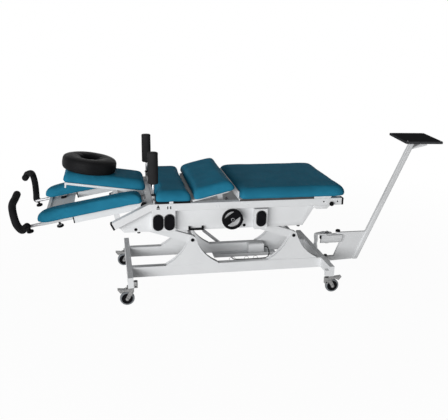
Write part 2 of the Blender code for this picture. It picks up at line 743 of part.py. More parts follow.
def caster(label, x, y, way):
    """A braked swivel caster: fork, wheel and brake pedal, trailing along X."""
    wheel_x = x + way * CASTER_TRAIL
    head_top = BEAM_BOTTOM - GAP
    head_bottom = head_top - FORK_HEAD_HEIGHT
    inner = WHEEL_WIDTH / 2 + FORK_CLEARANCE
    outer = inner + FORK_PLATE
    swivel = cylinder((x, y, head_bottom), (x, y, head_top), SWIVEL_RADIUS)
    crown_low = 2 * WHEEL_RADIUS + 2 * FORK_CLEARANCE
    crown_half = FORK_CROWN_LENGTH / 2
    crown = box(middle(x, FORK_CROWN_LENGTH), (y - outer, y + outer), (crown_low, head_bottom + WELD))
    parts = [crown]
    pin_x = x + way * (crown_half + 2 * PEDAL_PIN_RADIUS)
    pin_z = crown_low + 2 * PEDAL_PIN_RADIUS
    cheek = 1.5 * PEDAL_PIN_RADIUS
    heel_x = x - way * crown_half
    cheek_x = pin_x + way * 2 * PEDAL_PIN_RADIUS
    toe = arc((wheel_x, WHEEL_RADIUS), FORK_TOE_RADIUS, math.pi, 2 * math.pi, CORNER_STEPS)
    outline = toe[::-way] + [
        (heel_x, crown_low), (heel_x, pin_z + cheek), (cheek_x, pin_z + cheek), (cheek_x, pin_z - cheek),
        (x + way * FORK_NOTCH, pin_z - cheek),
    ]
    for side in (-1, 1):
        sides = side_range(side, inner, outer)
        parts.append(prism_y(outline, (y + sides[0], y + sides[1])))
    parts.append(cylinder((wheel_x, y - outer, WHEEL_RADIUS), (wheel_x, y + outer, WHEEL_RADIUS),
                          AXLE_RADIUS, SMALL_ROUND))
    add_piece(f"caster_fork_{label}", fuse(swivel, *parts), GREY_STEEL, (x, y, head_top))

    bore = AXLE_RADIUS + PIVOT_CLEARANCE
    half = WHEEL_WIDTH / 2
    recess = -half + HUB_RECESS
    shoulder = -half + TREAD_CROWN / 2
    profile = [
        (bore, -half), (WHEEL_BOSS_RADII[0], -half), (WHEEL_BOSS_RADII[1], recess),
        (WHEEL_HUB_RADII[0], recess), (WHEEL_HUB_RADII[1], shoulder),
        (WHEEL_RADIUS - TREAD_CROWN, shoulder), (WHEEL_RADIUS, shoulder + TREAD_CROWN),
    ]
    profile += [(r, -h) for r, h in reversed(profile)]
    wheel = turned(profile, (wheel_x, y, WHEEL_RADIUS), (0, 1, 0), ROUND)
    add_piece(f"caster_wheel_{label}", wheel, GREY_RUBBER, (wheel_x, y, WHEEL_RADIUS))

    across = (y - PEDAL_WIDTH / 2, y + PEDAL_WIDTH / 2)
    tip_x = x + way * (SWIVEL_RADIUS + PEDAL_LENGTH)
    tip_z = pin_z + PEDAL_PLATE
    half_plate = PEDAL_PLATE / 2
    blade = [
        (pin_x, pin_z - half_plate), (tip_x - way * PEDAL_SKIRT[0], tip_z - PEDAL_SKIRT[1] - PEDAL_PLATE),
        (tip_x, tip_z - half_plate), (tip_x, tip_z + half_plate), (pin_x, pin_z + half_plate),
    ]
    barrel = cylinder((pin_x, across[0], pin_z), (pin_x, across[1], pin_z), PEDAL_PIN_RADIUS, SMALL_ROUND)
    pedal = fuse(barrel, prism_y(blade, (across[0] + WELD, across[1] - WELD)))
    add_piece(f"caster_pedal_{label}", pedal, GREY_STEEL, (pin_x, y, pin_z))


def lift_frame(pin_x):
    """Two lift arms joined by a torsion tube, bored for the lower and upper shafts."""
    upper = (pin_x - LIFT_REACH, UPPER_PIN_Z)
    radius = LIFT_ARM_DEPTH / 2
    lean = math.atan2(LIFT_RISE, -LIFT_REACH)
    square = lean + math.pi / 2
    outline = arc(upper, radius, square - math.pi, square, 2 * CORNER_STEPS)
    outline += arc((pin_x, PIN_HEIGHT), radius, square, square + math.pi, 2 * CORNER_STEPS)
    half = LIFT_ARM_WIDTH / 2
    arms = [prism_y(outline, middle(side * LONG_BEAM_OFFSET, 2 * half)) for _, side in SIDES]
    tube_x = pin_x - LIFT_REACH * LIFT_TUBE_SHARE
    tube_z = PIN_HEIGHT + LIFT_RISE * LIFT_TUBE_SHARE
    reach = LONG_BEAM_OFFSET - half + WELD
    torsion = cylinder((tube_x, -reach, tube_z), (tube_x, reach, tube_z), LIFT_TUBE_RADIUS)
    whole = fuse(torsion, *arms)
    bores = []
    for x, z in ((pin_x, PIN_HEIGHT), upper):
        bores.append(cylinder((x, -RAIL_OUTER_Y, z), (x, RAIL_OUTER_Y, z),
                              SHAFT_RADIUS + PIVOT_CLEARANCE, SMALL_ROUND))
    return cut(whole, *bores)


def shaft(x, z, reach):
    return cylinder((x, -reach, z), (x, reach, z), SHAFT_RADIUS, SMALL_ROUND)


def actuator():
    """The lift actuator: an outer tube pinned to the base and a rod that runs out of it."""
    foot = Vector((ACTUATOR_FOOT_X, ACTUATOR_Y, ACTUATOR_FOOT_Z))
    top = Vector((ACTUATOR_TOP_X, ACTUATOR_Y, ACTUATOR_TOP_Z))
    along = (top - foot).normalized()
    across = Vector((0, ACTUATOR_EYE_WIDTH / 2, 0))
    eye_radius = ACTUATOR_EYE_RADIUS - CLEVIS_SIDE_PLAY
    foot_eye = cylinder(foot - across, foot + across, eye_radius, SMALL_ROUND)
    mouth = foot + along * ACTUATOR_TUBE_LENGTH
    sleeve_start = foot + along * (ACTUATOR_EYE_RADIUS + ACTUATOR_NECK)
    neck = cylinder(foot, sleeve_start + along * WELD, ACTUATOR_ROD_RADIUS, SMALL_ROUND)
    sleeve = cylinder(sleeve_start, mouth, ACTUATOR_TUBE_RADIUS, SMALL_ROUND)
    bore_radius = ACTUATOR_ROD_RADIUS + PIVOT_CLEARANCE
    bore_start = sleeve_start + along * ACTUATOR_BORE_WALL
    bore = cylinder(bore_start, mouth + along * WELD, bore_radius, SMALL_ROUND)
    add_piece("lift_actuator_tube", cut(fuse(sleeve, neck, foot_eye), bore), BARE_STEEL, foot)
    top_eye = cylinder(top - across, top + across, eye_radius, SMALL_ROUND)
    rod = cylinder(mouth - along * ACTUATOR_ROD_INSIDE, top, ACTUATOR_ROD_RADIUS, SMALL_ROUND)
    add_piece("lift_actuator_rod", fuse(rod, top_eye), BARE_STEEL, top)


def mid_cross_tube():
    """The tube between the side panels that carries the actuator's upper clevis."""
    low = PANEL_BOTTOM + MID_TUBE_SIZE
    reach = PANEL_INNER_Y - GAP
    bar = box(middle(ACTUATOR_TOP_X, MID_TUBE_SIZE), (-reach, reach), (low, low + MID_TUBE_SIZE))
    return fuse(bar, *clevis(ACTUATOR_TOP_X, ACTUATOR_TOP_Z, low + WELD))


def side_rail(side):
    """A side rail with its slanted head-end tube and, on the near side, the head switch box."""
    cos, sin = math.cos(SLANT_ANGLE), math.sin(SLANT_ANGLE)
    half = RAIL_SIZE / 2
    end_top = (SLANT_END_X - half * sin, SLANT_END_Z + half * cos)
    end_bottom = (SLANT_END_X + half * sin, SLANT_END_Z - half * cos)
    knee_top = (end_top[0] + (RAIL_TOP - end_top[1]) * cos / sin, RAIL_TOP)
    knee_bottom = (end_bottom[0] + (RAIL_BOTTOM - end_bottom[1]) * cos / sin, RAIL_BOTTOM)
    outline = [end_top, end_bottom, knee_bottom]
    if side < 0:
        left, right = HEAD_SWITCH_BOX_X
        outline += [
            (left, RAIL_BOTTOM), (left, SWITCH_BOX_BOTTOM),
            (right, SWITCH_BOX_BOTTOM), (right, RAIL_BOTTOM),
        ]
    outline += [(RAIL_END_X, RAIL_BOTTOM), (RAIL_END_X, RAIL_TOP), knee_top]
    return prism_y(outline, side_range(side, RAIL_INNER_Y, RAIL_OUTER_Y))


def side_panel(side):
    """A folded side panel behind the rail; the near one carries the foot switch box."""
    cos, sin = math.cos(SLANT_ANGLE), math.sin(SLANT_ANGLE)
    upper = RAIL_TOP - RAIL_SIZE / 2
    knee_x = SLANT_END_X + (upper - SLANT_END_Z) * cos / sin
    nose_top = (PANEL_NOSE[0], SLANT_END_Z + (PANEL_NOSE[0] - SLANT_END_X) * sin / cos)
    outline = [
        (PANEL_LEFT_X, PANEL_BOTTOM), (PANEL_RIGHT_X[0], PANEL_BOTTOM), (PANEL_RIGHT_X[1], RAIL_BOTTOM),
        (PANEL_RIGHT_X[1], upper), (knee_x, upper), nose_top, PANEL_NOSE,
    ]
    panel = prism_y(outline, side_range(side, PANEL_INNER_Y, PANEL_OUTER_Y))
    if side > 0:
        return panel
    switch_box = box(FOOT_SWITCH_BOX_X, (-RAIL_OUTER_Y, -PANEL_OUTER_Y + WELD),
                     (PANEL_BOTTOM + WELD, FOOT_SWITCH_BOX_TOP))
    return fuse(panel, switch_box)


def rocker_switch(name, x):
    """An oval rocker key that tips about a level axis."""
    straight = (SWITCH_HEIGHT - SWITCH_WIDTH) / 2
    back = -RAIL_OUTER_Y - SWITCH_GAP
    rings = []
    shoulder = SWITCH_DEPTH - SWITCH_CORNER
    for depth, inset in ((0.0, 0.0), (shoulder, 0.0), (SWITCH_DEPTH, SWITCH_FACE_INSET)):
        radius = SWITCH_WIDTH / 2 - inset
        outline = arc((x, SWITCH_Z + straight), radius, 0.0, math.pi, 2 * CORNER_STEPS)
        outline += arc((x, SWITCH_Z - straight), radius, math.pi, 2 * math.pi, 2 * CORNER_STEPS)
        rings.append([(px, back - depth, pz) for px, pz in outline])
    add_piece(name, stacked(rings), BLACK_PLASTIC, (x, -RAIL_OUTER_Y - SWITCH_GAP / 2, SWITCH_Z))


def handwheel():
    """A handwheel with two crescent windows, a hub shaft and a crank pin on its rim."""
    face = -HANDWHEEL_FACE_Y
    back = face + HANDWHEEL_THICKNESS
    centre = (HANDWHEEL_X, HANDWHEEL_Z)
    disc = cylinder((HANDWHEEL_X, back, HANDWHEEL_Z), (HANDWHEEL_X, face, HANDWHEEL_Z), HANDWHEEL_RADIUS)
    hub = cylinder((HANDWHEEL_X, back, HANDWHEEL_Z), (HANDWHEEL_X, face - 2 * WELD, HANDWHEEL_Z),
                   HANDWHEEL_HUB_RADIUS, SMALL_ROUND)
    stem_start = -PANEL_OUTER_Y - GAP
    stem = cylinder((HANDWHEEL_X, stem_start, HANDWHEEL_Z), (HANDWHEEL_X, face + WELD, HANDWHEEL_Z),
                    HANDWHEEL_SHAFT_RADIUS, SMALL_ROUND)
    inner = HANDWHEEL_RADIUS - HANDWHEEL_RIM
    windows = []
    for chord, facing in ((HANDWHEEL_BAR_LOW, -math.pi / 2), (HANDWHEEL_BAR_HIGH, math.pi / 2)):
        half_angle = math.acos(chord / inner)
        middle_angle = HANDWHEEL_BAR_ANGLE + facing
        outline = arc(centre, inner, middle_angle - half_angle, middle_angle + half_angle, 3 * CORNER_STEPS)
        windows.append(prism_y(outline, (face - HANDWHEEL_RIM, back + HANDWHEEL_RIM)))
    pin_x = HANDWHEEL_X + HANDWHEEL_RADIUS - CRANK_PIN_RADIUS
    crank = cylinder((pin_x, face + WELD, HANDWHEEL_Z), (pin_x, face - CRANK_PIN_LENGTH, HANDWHEEL_Z),
                     CRANK_PIN_RADIUS, SMALL_ROUND)
    wheel = fuse(cut(disc, *windows), stem, hub, crank)
    add_piece("handwheel", wheel, BLACK_PLASTIC, (HANDWHEEL_X, face, HANDWHEEL_Z))


def gearbox():
    """The worm box behind the handwheel, on the inner face of the near panel."""
    y = (-PANEL_INNER_Y + GAP, -PANEL_INNER_Y + GAP + GEARBOX[1])
    shell = rounded_plan(middle(HANDWHEEL_X, GEARBOX[0]), y, GEARBOX_CORNER, GEARBOX_CORNER)
    return prism_z(shell, middle(HANDWHEEL_Z, GEARBOX[2]))


def release_handle():
    """A U-shaped pull handle that hinges up and out from the near panel."""
    pivot_y = -PANEL_OUTER_Y - HANDLE_STANDOFF
    front = pivot_y - HANDLE_REACH
    low = HANDLE_PIVOT_Z - HANDLE_DROP
    bar = box(HANDLE_X, (front, front + HANDLE_BAR), (low, low + HANDLE_BAR))
    lug_y = (front + WELD, pivot_y + HANDLE_BAR / 2)
    lug_z = (low + WELD, HANDLE_PIVOT_Z + HANDLE_BAR / 2)
    lugs = []
    for x in ((HANDLE_X[0], HANDLE_X[0] + HANDLE_BAR), (HANDLE_X[1] - HANDLE_BAR, HANDLE_X[1])):
        lugs.append(box(x, lug_y, lug_z))
    pivot = (sum(HANDLE_X) / 2, pivot_y, HANDLE_PIVOT_Z)
    add_piece("release_handle", fuse(bar, *lugs), BLACK_PLASTIC, pivot)


def rail_plunger():
    """The spring plunger that locks the sliding leg section."""
    face = -RAIL_OUTER_Y - GAP
    neck = cylinder((PLUNGER_X, face, PLUNGER_Z), (PLUNGER_X, face - PLUNGER_NECK - WELD, PLUNGER_Z),
                    PLUNGER_NECK_RADIUS, SMALL_ROUND)
    head_start = face - PLUNGER_NECK
    head = cylinder((PLUNGER_X, head_start, PLUNGER_Z), (PLUNGER_X, head_start - PLUNGER_HEAD, PLUNGER_Z),
                    PLUNGER_RADIUS, SMALL_ROUND, PLUNGER_TIP_RADIUS)
    add_piece("rail_plunger", fuse(head, neck), BLACK_PLASTIC, (PLUNGER_X, face, PLUNGER_Z))


def thorax_section():
    """The fixed chest cushion on its board across the rails."""
    cushion = pad(THORAX_X, (-HALF_PAD, HALF_PAD), (PAD_BOTTOM, PAD_TOP), PAD_CORNER, PAD_CORNER, PAD_EDGE)
    inset = BOARD_INSET
    board = box((THORAX_X[0] + inset, THORAX_X[1] - inset), (-HALF_PAD + inset, HALF_PAD - inset),
                (RAIL_TOP + GAP, PAD_BOTTOM + WELD))
    add_piece("thorax_pad", fuse(cushion, board), TEAL_VINYL)


def lumbar_section():
    """The tilting lumbar cushion, its plate, hinge barrel and drive quadrant."""
    axis_x, axis_z = LUMBAR_HINGE_X, LUMBAR_HINGE_Z
    pivot = (axis_x, 0, axis_z)
    x = (axis_x + LUMBAR_X[0], axis_x + LUMBAR_X[1])
    cushion = pad(x, (-HALF_PAD, HALF_PAD), (PAD_BOTTOM, PAD_TOP), PAD_CORNER, PAD_CORNER, PAD_EDGE)
    add_piece("lumbar_pad", turned_about(cushion, -LUMBAR_TILT, axis_x, axis_z), TEAL_VINYL, pivot)

    plate_top = PAD_BOTTOM - GAP
    plate_y = HALF_PAD - BOARD_INSET
    plate = box((axis_x, x[1] - BOARD_INSET), (-plate_y, plate_y), (plate_top - LUMBAR_PLATE, plate_top))
    reach = RAIL_INNER_Y - 2 * GAP
    barrel = cylinder((axis_x, -reach, axis_z), (axis_x, reach, axis_z), LUMBAR_BARREL_RADIUS, SMALL_ROUND)
    web = box(middle(axis_x, LUMBAR_BARREL_RADIUS), (-reach + WELD, reach - WELD),
              (axis_z, plate_top - LUMBAR_PLATE / 2))
    start, end = QUADRANT_ANGLES
    outline = arc((axis_x, axis_z), QUADRANT_RADII[0], end, start, 2 * CORNER_STEPS)
    outline += arc((axis_x, axis_z), QUADRANT_RADII[1], start, end, 2 * CORNER_STEPS)
    outline += [(outline[-1][0], plate_top - WELD), (outline[0][0], plate_top - WELD)]
    quadrant_y = -PANEL_INNER_Y + GAP + GEARBOX[1] + 2 * WELD
    quadrant = prism_y(outline, (quadrant_y, quadrant_y + QUADRANT_PLATE))
    frame = fuse(plate, barrel, web, quadrant)
    add_piece("lumbar_frame", turned_about(frame, -LUMBAR_TILT, axis_x, axis_z), WHITE_PAINT, pivot)


def leg_section():
    """The sliding leg cushion on a carriage that runs along the rails."""
    cushion = pad(LEG_X, (-HALF_PAD, HALF_PAD), (PAD_BOTTOM, PAD_TOP), PAD_CORNER, LEG_CORNER, PAD_EDGE)
    add_piece("leg_pad", cushion, TEAL_VINYL)
    plate_top = PAD_BOTTOM - GAP
    plate_y = RAIL_OUTER_Y
    plate = box((LEG_X[0] - LEG_FLANGE, LEG_PLATE_END), (-plate_y, plate_y),
                (plate_top - LEG_PLATE, plate_top))
    flange = box((LEG_X[0] - LEG_FLANGE, LEG_X[0] - GAP), (-plate_y + BOARD_INSET, plate_y - BOARD_INSET),
                 (plate_top - WELD, LEG_FLANGE_TOP))
    runners = []
    for _, side in SIDES:
        y = side_range(side, RAIL_OUTER_Y - LEG_RUNNER_WIDTH, RAIL_OUTER_Y - WELD)
        runners.append(box((LEG_X[0], LEG_PLATE_END - WELD), y,
                           (RAIL_TOP + GAP, plate_top - LEG_PLATE / 2)))
    add_piece("leg_carriage", fuse(plate, flange, *runners), WHITE_PAINT)


def head_section():
    """The tilting head cushion, its sheet-metal tray with hinge lugs, and the face ring."""
    axis_x, axis_z = HEAD_AXIS_X, HEAD_AXIS_Z
    pivot = (axis_x, 0, axis_z)
    x = (axis_x + HEAD_PAD_X[0], axis_x + HEAD_PAD_X[1])
    half = HEAD_PAD_WIDTH / 2
    top = HEAD_PAD_BOTTOM + PAD_THICKNESS
    cushion = pad(x, (-half, half), (HEAD_PAD_BOTTOM, top), HEAD_PAD_CORNER, HEAD_PAD_CORNER, PAD_EDGE)
    add_piece("head_pad", turned_about(cushion, HEAD_TILT, axis_x, axis_z), TEAL_VINYL, pivot)

    tray_top = HEAD_PAD_BOTTOM - GAP
    tray_x = (x[0] + HEAD_PLATE_INSET, x[1] - HEAD_PLATE_INSET)
    tray_y = half - HEAD_PLATE_INSET
    tray = box(tray_x, (-tray_y, tray_y), (tray_top - HEAD_PLATE, tray_top))
    parts = []
    for _, side in SIDES:
        lug_y = middle(side * HEAD_LUG_OFFSET, HEAD_LUG_WIDTH)
        crown = arc((axis_x, axis_z), HEAD_LUG_RADIUS, math.pi, 2 * math.pi, 2 * CORNER_STEPS)
        root = tray_top - WELD
        outline = crown + [(tray_x[1] - WELD, root), (axis_x - 2 * HEAD_LUG_RADIUS, root)]
        parts.append(prism_y(outline, lug_y))
        tab_y = side_range(side, tray_y - HEAD_TAB[0], tray_y - WELD)
        tab_x = (tray_x[0] + WELD, tray_x[0] + HEAD_TAB[0])
        parts.append(box(tab_x, tab_y, (tray_top - HEAD_TAB[1], root)))
    bore = cylinder((axis_x, -half, axis_z), (axis_x, half, axis_z), HEAD_TUBE_RADIUS + PIVOT_CLEARANCE)
    frame = cut(fuse(tray, *parts), bore)
    add_piece("head_frame", turned_about(frame, HEAD_TILT, axis_x, axis_z), WHITE_PAINT, pivot)

    ring = face_ring((axis_x + FACE_RING_X, 0, FACE_RING_BOTTOM))
    add_piece("face_cushion", turned_about(ring, HEAD_TILT, axis_x, axis_z), BLACK_FOAM, pivot)


def face_ring(centre):
    """A ring cushion with a round section, flattened where it rests."""
    middle_radius = (FACE_RING_RADIUS + FACE_RING_HOLE) / 2
    half_width = (FACE_RING_RADIUS - FACE_RING_HOLE) / 2
    half_height = FACE_RING_HEIGHT / 2
    tallest = math.cos(math.pi / FACE_RING_POINTS)
    profile = []
    for i in range(FACE_RING_POINTS):
        angle = -2 * math.pi * (i + 0.5) / FACE_RING_POINTS
        across, up = math.cos(angle), math.sin(angle) / tallest
        power = FACE_RING_TOP_ROUND if up > 0 else FACE_RING_BASE_ROUND
        across = math.copysign(abs(across) ** power, across)
        up = math.copysign(abs(up) ** power, up)
        profile.append((middle_radius + half_width * across, half_height * (1 + up)))
    return turned(profile, centre, (0, 0, 1), ROUND)


def arm_section():
    """Two tilting arm rests: cushions on boards, and hollow rails hung on the head hinge tube."""
    axis_x, axis_z = HEAD_AXIS_X, HEAD_AXIS_Z
    pivot = (axis_x, 0, axis_z)
    pad_x = (axis_x + ARM_PAD_X[0], axis_x + ARM_PAD_X[1])
    rail_x = axis_x + ARM_RAIL_END
    rail_z = (ARM_RAIL_TOP - ARM_RAIL_HEIGHT, ARM_RAIL_TOP)
    for label, side in SIDES:
        y = middle(side * ARM_OFFSET, ARM_PAD_WIDTH)
        cushion = pad(pad_x, y, (ARM_PAD_BOTTOM - ARM_BOARD, ARM_PAD_BOTTOM + ARM_PAD_THICKNESS),
                      ARM_PAD_WIDTH / 2 - GAP, ARM_PAD_HEEL, ARM_PAD_EDGE)
        add_piece(f"arm_pad_{label}", turned_about(cushion, ARM_TILT, axis_x, axis_z), TEAL_VINYL, pivot)

        rail_y = middle(side * ARM_RAIL_OFFSET, ARM_RAIL_WIDTH)
        body = box((rail_x, axis_x - ARM_LUG_RADIUS / 2), rail_y, rail_z)
        lug = cylinder((axis_x, rail_y[0] + WELD, axis_z), (axis_x, rail_y[1] - WELD, axis_z),
                       ARM_LUG_RADIUS)
        stop_x = (axis_x + ARM_STOP_X[0], axis_x + ARM_STOP_X[1])
        stop = box(stop_x, middle(side * ARM_RAIL_OFFSET, ARM_STOP_PLATE),
                   (rail_z[0] - ARM_STOP_DROP, rail_z[0] + WELD))
        hollow = box((rail_x - WELD, rail_x + ARM_RAIL_HOLLOW),
                     (rail_y[0] + ARM_RAIL_WALL, rail_y[1] - ARM_RAIL_WALL),
                     (rail_z[0] + ARM_RAIL_WALL, rail_z[1] - ARM_RAIL_WALL))
        bore = cylinder((axis_x, rail_y[0] - WELD, axis_z), (axis_x, rail_y[1] + WELD, axis_z),
                        HEAD_TUBE_RADIUS + PIVOT_CLEARANCE)
        rail = cut(fuse(body, lug, stop), hollow, bore)
        add_piece(f"arm_rail_{label}", turned_about(rail, ARM_TILT, axis_x, axis_z), WHITE_PAINT, pivot)


def clamp_knob(x, y, top):
    """A mushroom clamp knob hanging below a tube."""
    stem = cylinder((x, y, top), (x, y, top - KNOB_STEM - WELD), KNOB_STEM_RADIUS, SMALL_ROUND)
    head = cylinder((x, y, top - KNOB_STEM - KNOB_HEAD), (x, y, top - KNOB_STEM), KNOB_RADIUS, SMALL_ROUND,
                    KNOB_TOP_RADIUS)
    return [stem, head]


def arm_carriage():
    """Two tubes that telescope out of the arm rails, tied by a plate and a front bar."""
    axis_x, axis_z = HEAD_AXIS_X, HEAD_AXIS_Z
    x = (axis_x + CARRIAGE_X[0], axis_x + CARRIAGE_X[1])
    bridge_x = (axis_x + BRIDGE_X[0], axis_x + BRIDGE_X[1])
    bridge_z = middle(CARRIAGE_Z, BRIDGE_PLATE)
    plate = box(bridge_x, (-ARM_RAIL_OFFSET, ARM_RAIL_OFFSET), bridge_z)
    parts = [box((bridge_x[0] - BRIDGE_BAR, bridge_x[0] + WELD), (-ARM_RAIL_OFFSET, ARM_RAIL_OFFSET),
                 middle(CARRIAGE_Z, BRIDGE_BAR))]
    bores = []
    for _, side in SIDES:
        y = side * ARM_RAIL_OFFSET
        parts.append(cylinder((x[0], y, CARRIAGE_Z), (x[1], y, CARRIAGE_Z),
                              CARRIAGE_TUBE_RADIUS, SMALL_ROUND))
        parts += clamp_knob(axis_x + ARM_KNOB_X, y, CARRIAGE_Z - CARRIAGE_TUBE_RADIUS + WELD)
        bore_end = axis_x + GRIP_TUBE_X[1] + KNOB_RADIUS
        bores.append(cylinder((x[0] - WELD, y, CARRIAGE_Z), (bore_end, y, CARRIAGE_Z),
                              GRIP_TUBE_RADIUS + PIVOT_CLEARANCE, SMALL_ROUND))
    carriage = cut(fuse(plate, *parts), *bores)
    pivot = (axis_x, 0, axis_z)
    add_piece("arm_carriage", turned_about(carriage, ARM_TILT, axis_x, axis_z), WHITE_PAINT, pivot)


def hand_grip(label, side):
    """A steel tube with a foam-covered hook of a hand grip and its clamp knob."""
    axis_x, axis_z = HEAD_AXIS_X, HEAD_AXIS_Z
    y = side * ARM_RAIL_OFFSET
    x = (axis_x + GRIP_TUBE_X[0], axis_x + GRIP_TUBE_X[1])
    stem = cylinder((x[0], y, CARRIAGE_Z), (x[1], y, CARRIAGE_Z), GRIP_TUBE_RADIUS, SMALL_ROUND)
    parts = [turned_about(stem, ARM_TILT, axis_x, axis_z)]
    for knob_part in clamp_knob(axis_x + GRIP_KNOB_X, y, CARRIAGE_Z):
        parts.append(turned_about(knob_part, ARM_TILT, axis_x, axis_z))
    route = smooth_path([(px, side * py, pz) for px, py, pz in GRIP_PATH], SPAN_STEPS)
    foam = tube(route, GRIP_FOAM_RADIUS, TUBE_RESOLUTION)
    origin = Matrix.Rotation(ARM_TILT, 4, "Y") @ Vector((x[0] - axis_x, y, CARRIAGE_Z - axis_z))
    add_piece(f"grip_{label}", fuse(foam, *parts), BLACK_FOAM, origin + Vector((axis_x, 0, axis_z)))


def armpit_post(label, side):
    """An armpit roll on a rod, in a block that slides along the cross bar."""
    y = side * POST_OFFSET
    length, width, height = POST_BLOCK
    block_z = (POST_BAR_BOTTOM + GAP, POST_BAR_BOTTOM + GAP + height)
    block = box(middle(POST_X, length), middle(y, width), block_z)
    slot = box(middle(POST_X, POST_BAR[0] + 2 * SLIDE_CLEARANCE), middle(y, width + 2 * WELD),
               (block_z[0] - WELD, POST_BAR_TOP + SLIDE_CLEARANCE))
    rod = cylinder((POST_X, y, block_z[1] - WELD), (POST_X, y, POST_ROLL_Z[0] + WELD),
                   POST_ROD_RADIUS, SMALL_ROUND)
    radius, edge = POST_ROLL_RADIUS, POST_ROLL_EDGE
    low, high = POST_ROLL_Z
    roll = cylinder((POST_X, y, low), (POST_X, y, high - edge), radius)
    cap = cylinder((POST_X, y, high - edge - WELD), (POST_X, y, high), radius, ROUND, radius - edge)
    post = fuse(cut(block, slot), rod, roll, cap)
    add_piece(f"armpit_post_{label}", post, BLACK_FOAM, (POST_X, y, POST_BAR_TOP))


def traction_arm():
    """The swing arm: a plate with a window and two knuckles, a slanted mast and a clamp knob."""
    half = ARM_PLATE_THICKNESS / 2
    start = SWING_X - ARM_PLATE_START
    shoulder = SWING_X + ARM_PLATE_SHOULDER
    low, high = ARM_PLATE_Z
    window_low, window_high = LOWER_KNUCKLE_Z[1], UPPER_KNUCKLE_Z[0]
    corner_z = low + ARM_PLATE_RISE
    outline = [
        (start, window_high), (ARM_WINDOW_X[1], window_high),
        (ARM_WINDOW_X[0], window_low), (start, window_low),
        (start, low), (mast_x(corner_z), corner_z), (mast_x(ARM_PLATE_TOP), ARM_PLATE_TOP),
        (shoulder, ARM_PLATE_TOP), (shoulder, high), (start, high),
    ]
    plate = prism_y(outline, (-half, half))
    parts = []
    bores = []
    for z in (UPPER_KNUCKLE_Z, LOWER_KNUCKLE_Z):
        parts.append(cylinder((SWING_X, 0, z[0]), (SWING_X, 0, z[1]), KNUCKLE_RADIUS))
        bores.append(cylinder((SWING_X, 0, z[0] - WELD), (SWING_X, 0, z[1] + WELD),
                              SWING_PIN_RADIUS + PIVOT_CLEARANCE, SMALL_ROUND))
    parts.append(mast())
    cap_z = (MAST_TOP[1], MAST_TOP[1] + MAST_CAP)
    parts.append(box(MAST_CAP_X, middle(0, MAST_CAP_WIDTH), cap_z))
    rib_end = MAST_CAP_X[1] - WELD
    rib = [
        (MAST_TOP[0], cap_z[0] + WELD), (MAST_TOP[0], cap_z[0] - MAST_RIB[0]),
        (rib_end, cap_z[0] - MAST_RIB[1]), (rib_end, cap_z[0] + WELD),
    ]
    parts.append(prism_y(rib, (-half / 2, half / 2)))
    stub_x = (SWING_X - STUB_REACH[0], SWING_X + STUB_REACH[1])
    stub_top = high - WELD
    parts.append(box(stub_x, (-half - STUB_SIZE, -half + WELD), (stub_top - STUB_SIZE, stub_top)))
    parts.append(stub_trough((stub_x[0] + WELD, stub_x[1] - WELD), half, stub_top - STUB_SIZE + WELD))
    knob_base = ARM_PLATE_TOP - WELD
    parts.append(cylinder((SWING_KNOB_X, 0, knob_base), (SWING_KNOB_X, 0, knob_base + SWING_KNOB_HEIGHT),
                          SWING_KNOB_RADIUS, SMALL_ROUND))
    arm = fuse(cut(fuse(plate, *parts[:2]), *bores), *parts[2:])
    add_piece("traction_arm", arm, WHITE_PAINT, (SWING_X, 0, low))


def stub_trough(x, half, top):
    """The rounded shell below the stub tube, drawn in to the plate above its window."""
    edge = []
    for i in range(CORNER_STEPS + 1):
        turn = math.pi / 2 * i / CORNER_STEPS
        edge.append((-half - (STUB_SIZE - WELD) * math.cos(turn), top - STUB_TROUGH * math.sin(turn)))
    outline = edge + [(WELD - half, top - STUB_TROUGH), (WELD - half, top)]
    return stacked([[(level, py, pz) for py, pz in outline] for level in x])


def mast_x(z):
    """The middle of the slanted mast at a height."""
    share = (z - MAST_FOOT[1]) / (MAST_TOP[1] - MAST_FOOT[1])
    return MAST_FOOT[0] + (MAST_TOP[0] - MAST_FOOT[0]) * share


def mast():
    """The slanted square tube, cut level at its foot and head."""
    lean = math.atan2(MAST_TOP[0] - MAST_FOOT[0], MAST_TOP[1] - MAST_FOOT[1])
    level_half = MAST_SIZE / 2 / math.cos(lean)
    top_z = MAST_TOP[1] + WELD
    outline = [
        (MAST_FOOT[0] - level_half, MAST_FOOT[1]), (MAST_FOOT[0] + level_half, MAST_FOOT[1]),
        (MAST_TOP[0] + level_half, top_z), (MAST_TOP[0] - level_half, top_z),
    ]
    return prism_y(outline, middle(0, MAST_SIZE))


def traction_tray():
    """The tray for a traction unit, turned a little on the mast."""
    length, width, height = TRAY
    plan = rounded_plan(middle(TRAY_CENTRE_X, length), middle(0, width), TRAY_CORNER, TRAY_CORNER)
    tray = prism_z(plan, (TRAY_BOTTOM, TRAY_BOTTOM + height))
    pivot = Vector((MAST_TOP[0], 0, TRAY_BOTTOM))
    centre = Matrix.Translation((TRAY_CENTRE_X, 0, 0))
    tray.transform(centre @ Matrix.Rotation(TRAY_TURN, 4, "Z") @ centre.inverted())
    add_piece("traction_tray", tray, BLACK_PLASTIC, pivot)


def control_gear():
    """The control box on the shelf and the lead from it, under the far beam, to the actuator."""
    length, depth, height = CONTROL_BOX
    shelf_top = SHELF_Z + SHELF_PLATE
    y = (LONG_INNER_Y - GAP - depth, LONG_INNER_Y - GAP)
    plan = rounded_plan(middle(CONTROL_BOX_X, length), y, CONTROL_BOX_CORNER, CONTROL_BOX_CORNER)
    add_piece("control_box", prism_z(plan, (shelf_top + GAP, shelf_top + GAP + height)), WHITE_PAINT)
    route = smooth_path(LEAD_ROUTE, LEAD_SPAN_STEPS)
    lead = tube_curve("control_lead", route, LEAD_RADIUS, LEAD_RESOLUTION)
    add_piece("control_lead", lead, BLACK_RUBBER)


